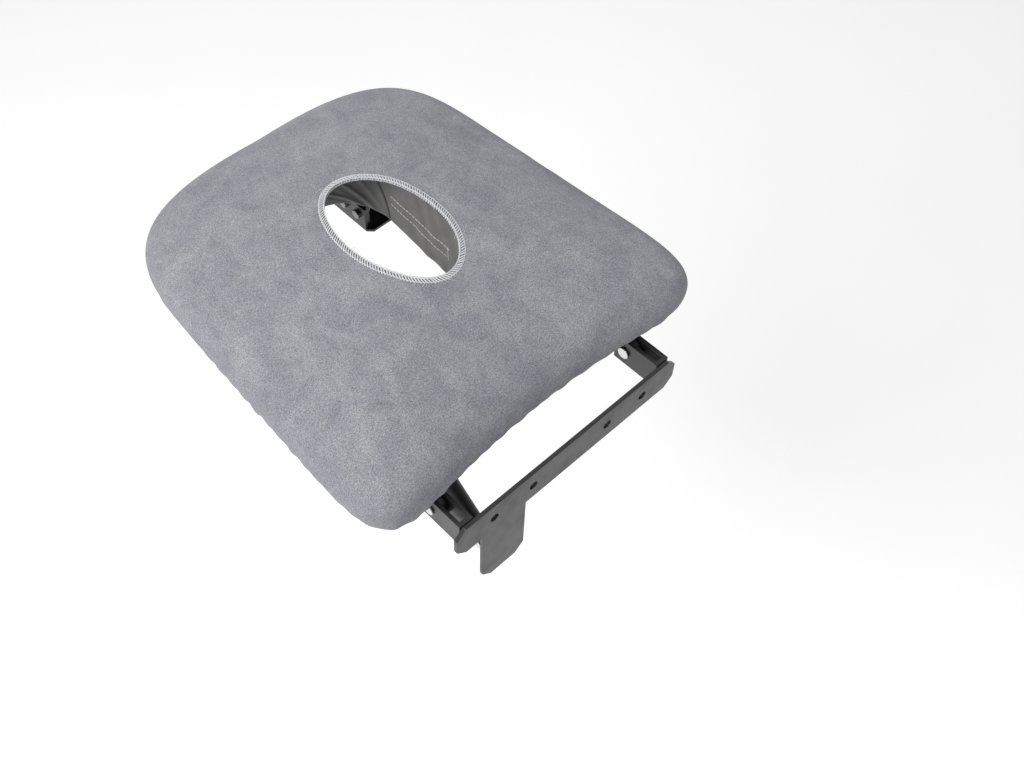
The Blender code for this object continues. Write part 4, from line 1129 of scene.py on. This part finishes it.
def make_hem_elastic():
    """The elastic cord in the cover's hem, puckered all round by its gathers."""
    angles = even_angles(lambda a: outline_radius(a, HEM_CORD_INSET), HEM_STATIONS)
    turn = np.linspace(0, FULL_TURN, HEM_STATIONS, endpoint=False)
    pucker = 0.0004 * np.sin(HEM_GATHERS * turn + 3 * np.sin(7 * turn))
    radius = outline_radius(angles, HEM_CORD_INSET) + pucker
    height = (ELASTIC_LOW.z + ELASTIC_HIGH.z) / 2 + 0.0003 * np.cos(HEM_GATHERS * turn)
    threads = Threads()
    threads.add(ring(angles, radius, height), HEM_CORD_RADIUS, 8, closed=True)
    place(threads.build("hem_elastic_cord"), ELASTIC, "elastic", "hem_elastic")


make_fitted_cover()
make_hole_edging()
make_lining()
make_seam_shade_lines()
make_lining_stitches()
make_layers()


# ---------------------------------------------------------------- the frame and its cable

SAME_POINT = 0.000002
HARD_SLOTS = ("black_steel", "zinc_steel", "chrome", "black_plastic", "nylon", "plywood")
EDGE_BEVEL = 0.0004
CREASE_ANGLE = math.radians(32)


def make_cable_sheath():
    """The release cable: a smooth-shaded copy of its node in black plastic, with the node itself hidden."""
    form = bmesh.new()
    form.from_mesh(frame["nodes"]["release_cable"].data)
    bmesh.ops.remove_doubles(form, verts=form.verts, dist=SAME_POINT)
    mesh = bpy.data.meshes.new("cable_sheath")
    form.to_mesh(mesh)
    form.free()
    mesh.shade_smooth()
    mesh.materials.append(BLACK_PLASTIC)
    cable = bpy.data.objects.new("cable_sheath", mesh)
    bpy.context.scene.collection.objects.link(cable)
    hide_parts("release_cable")
    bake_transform(cable)


def soften_edges(obj):
    """Join the node's split vertices, round its sharp edges slightly and shade the rest smooth."""
    weld = obj.modifiers.new("Weld", "WELD")
    weld.merge_threshold = SAME_POINT
    bevel = obj.modifiers.new("Bevel", "BEVEL")
    bevel.width = EDGE_BEVEL
    bevel.segments = 2
    bevel.limit_method = "ANGLE"
    bevel.angle_limit = CREASE_ANGLE
    obj.data.shade_smooth()
    normals = obj.modifiers.new("Normals", "WEIGHTED_NORMAL")
    normals.keep_sharp = True
    normals.weight = 100


def finish_cad_nodes():
    """Every CAD node that still shows takes its slot's finish and gets softened edges."""
    slots = {part["node"]: part["material_slot"] for part in frame["record"]["subparts"]}
    for name, obj in frame["nodes"].items():
        if obj.hide_render:
            continue
        # The side bolts take the darker copy of the zinc, which is painted shade.
        finish = SIDE_BOLT_SHADE_ZINC if name.startswith("side_") else SLOT_FINISHES[slots[name]]
        obj.data.materials.clear()
        obj.data.materials.append(finish)
        if slots[name] in HARD_SLOTS:
            soften_edges(obj)


make_cable_sheath()
finish_cad_nodes()


# ---------------------------------------------------------------- stage, light and camera

FLOOR_DROP = 1.15
FLOOR_HALF = 40.0
FLOOR_GLOW = 0.22
SKY_STRENGTH = 0.52
BACKDROP_STRENGTH = 0.88
# Each lamp: its name, place from the centre, size and power in watts.
LAMPS = (
    ("key", Vector((-2.0, -0.1, 2.0)), 1.6, 82.0),
    ("fill", Vector((1.6, 1.4, 2.0)), 2.2, 12.0),
)
CAMERA_PLACE = Vector((-0.4201, -0.5567, 0.8110))
CAMERA_FORWARD = Vector((0.39913, 0.42777, -0.81099))
CAMERA_LENS = 40.75
CAMERA_SENSOR = 36.0
CAMERA_SHIFT = (0.0363, -0.0039)


def make_floor():
    """A plain pale floor that glows faintly, so that it meets the white surroundings unseen."""
    mesh = bpy.data.meshes.new("floor")
    z = CAD_LOW.z - FLOOR_DROP
    corners = [(x * FLOOR_HALF, y * FLOOR_HALF, z) for x, y in ((-1, -1), (1, -1), (1, 1), (-1, 1))]
    mesh.from_pydata(corners, [], [(0, 1, 2, 3)])
    floor = bpy.data.objects.new("floor", mesh)
    bpy.context.scene.collection.objects.link(floor)
    finish = Finish("floor", roughness=0.9)
    finish.set("Emission Color", (1.0, 1.0, 1.0))
    finish.set("Emission Strength", FLOOR_GLOW)
    finish.set("Base Color", finish.mix(finish.noise(3.0, 3.0), (0.90, 0.90, 0.90), (0.93, 0.93, 0.93)))
    mesh.materials.append(finish.material)


def make_lamp(name, offset, size, power):
    """A round soft lamp that faces the cushion."""
    data = bpy.data.lights.new(name, "AREA")
    data.shape = "DISK"
    data.size = size
    data.energy = power
    lamp = bpy.data.objects.new(name, data)
    lamp.location = CENTRE + offset
    lamp.rotation_mode = "QUATERNION"
    lamp.rotation_quaternion = (-offset).to_track_quat("-Z", "Y")
    bpy.context.scene.collection.objects.link(lamp)


def make_world(scene):
    """Even white surroundings, brighter where the camera sees them directly."""
    world = bpy.data.worlds.new("studio")
    world.use_nodes = True
    tree = world.node_tree
    background = tree.nodes["Background"]
    background.inputs["Color"].default_value = (1.0, 1.0, 1.0, 1.0)
    strength = tree.nodes.new("ShaderNodeMath")
    strength.operation = "MULTIPLY_ADD"
    strength.inputs[1].default_value = BACKDROP_STRENGTH - SKY_STRENGTH
    strength.inputs[2].default_value = SKY_STRENGTH
    seen = tree.nodes.new("ShaderNodeLightPath").outputs["Is Camera Ray"]
    tree.links.new(seen, strength.inputs[0])
    tree.links.new(strength.outputs[0], background.inputs["Strength"])
    scene.world = world


def make_camera(scene):
    """The photograph's viewpoint."""
    data = bpy.data.cameras.new("camera")
    data.lens = CAMERA_LENS
    data.sensor_width = CAMERA_SENSOR
    data.shift_x = CAMERA_SHIFT[0]
    data.shift_y = CAMERA_SHIFT[1]
    camera = bpy.data.objects.new("camera", data)
    camera.location = CENTRE + CAMERA_PLACE
    camera.rotation_mode = "QUATERNION"
    camera.rotation_quaternion = CAMERA_FORWARD.to_track_quat("-Z", "Y")
    scene.collection.objects.link(camera)
    scene.camera = camera


def make_stage():
    scene = bpy.context.scene
    scene.view_settings.view_transform = "Standard"
    make_floor()
    make_world(scene)
    for lamp in LAMPS:
        make_lamp(*lamp)
    make_camera(scene)


make_stage()
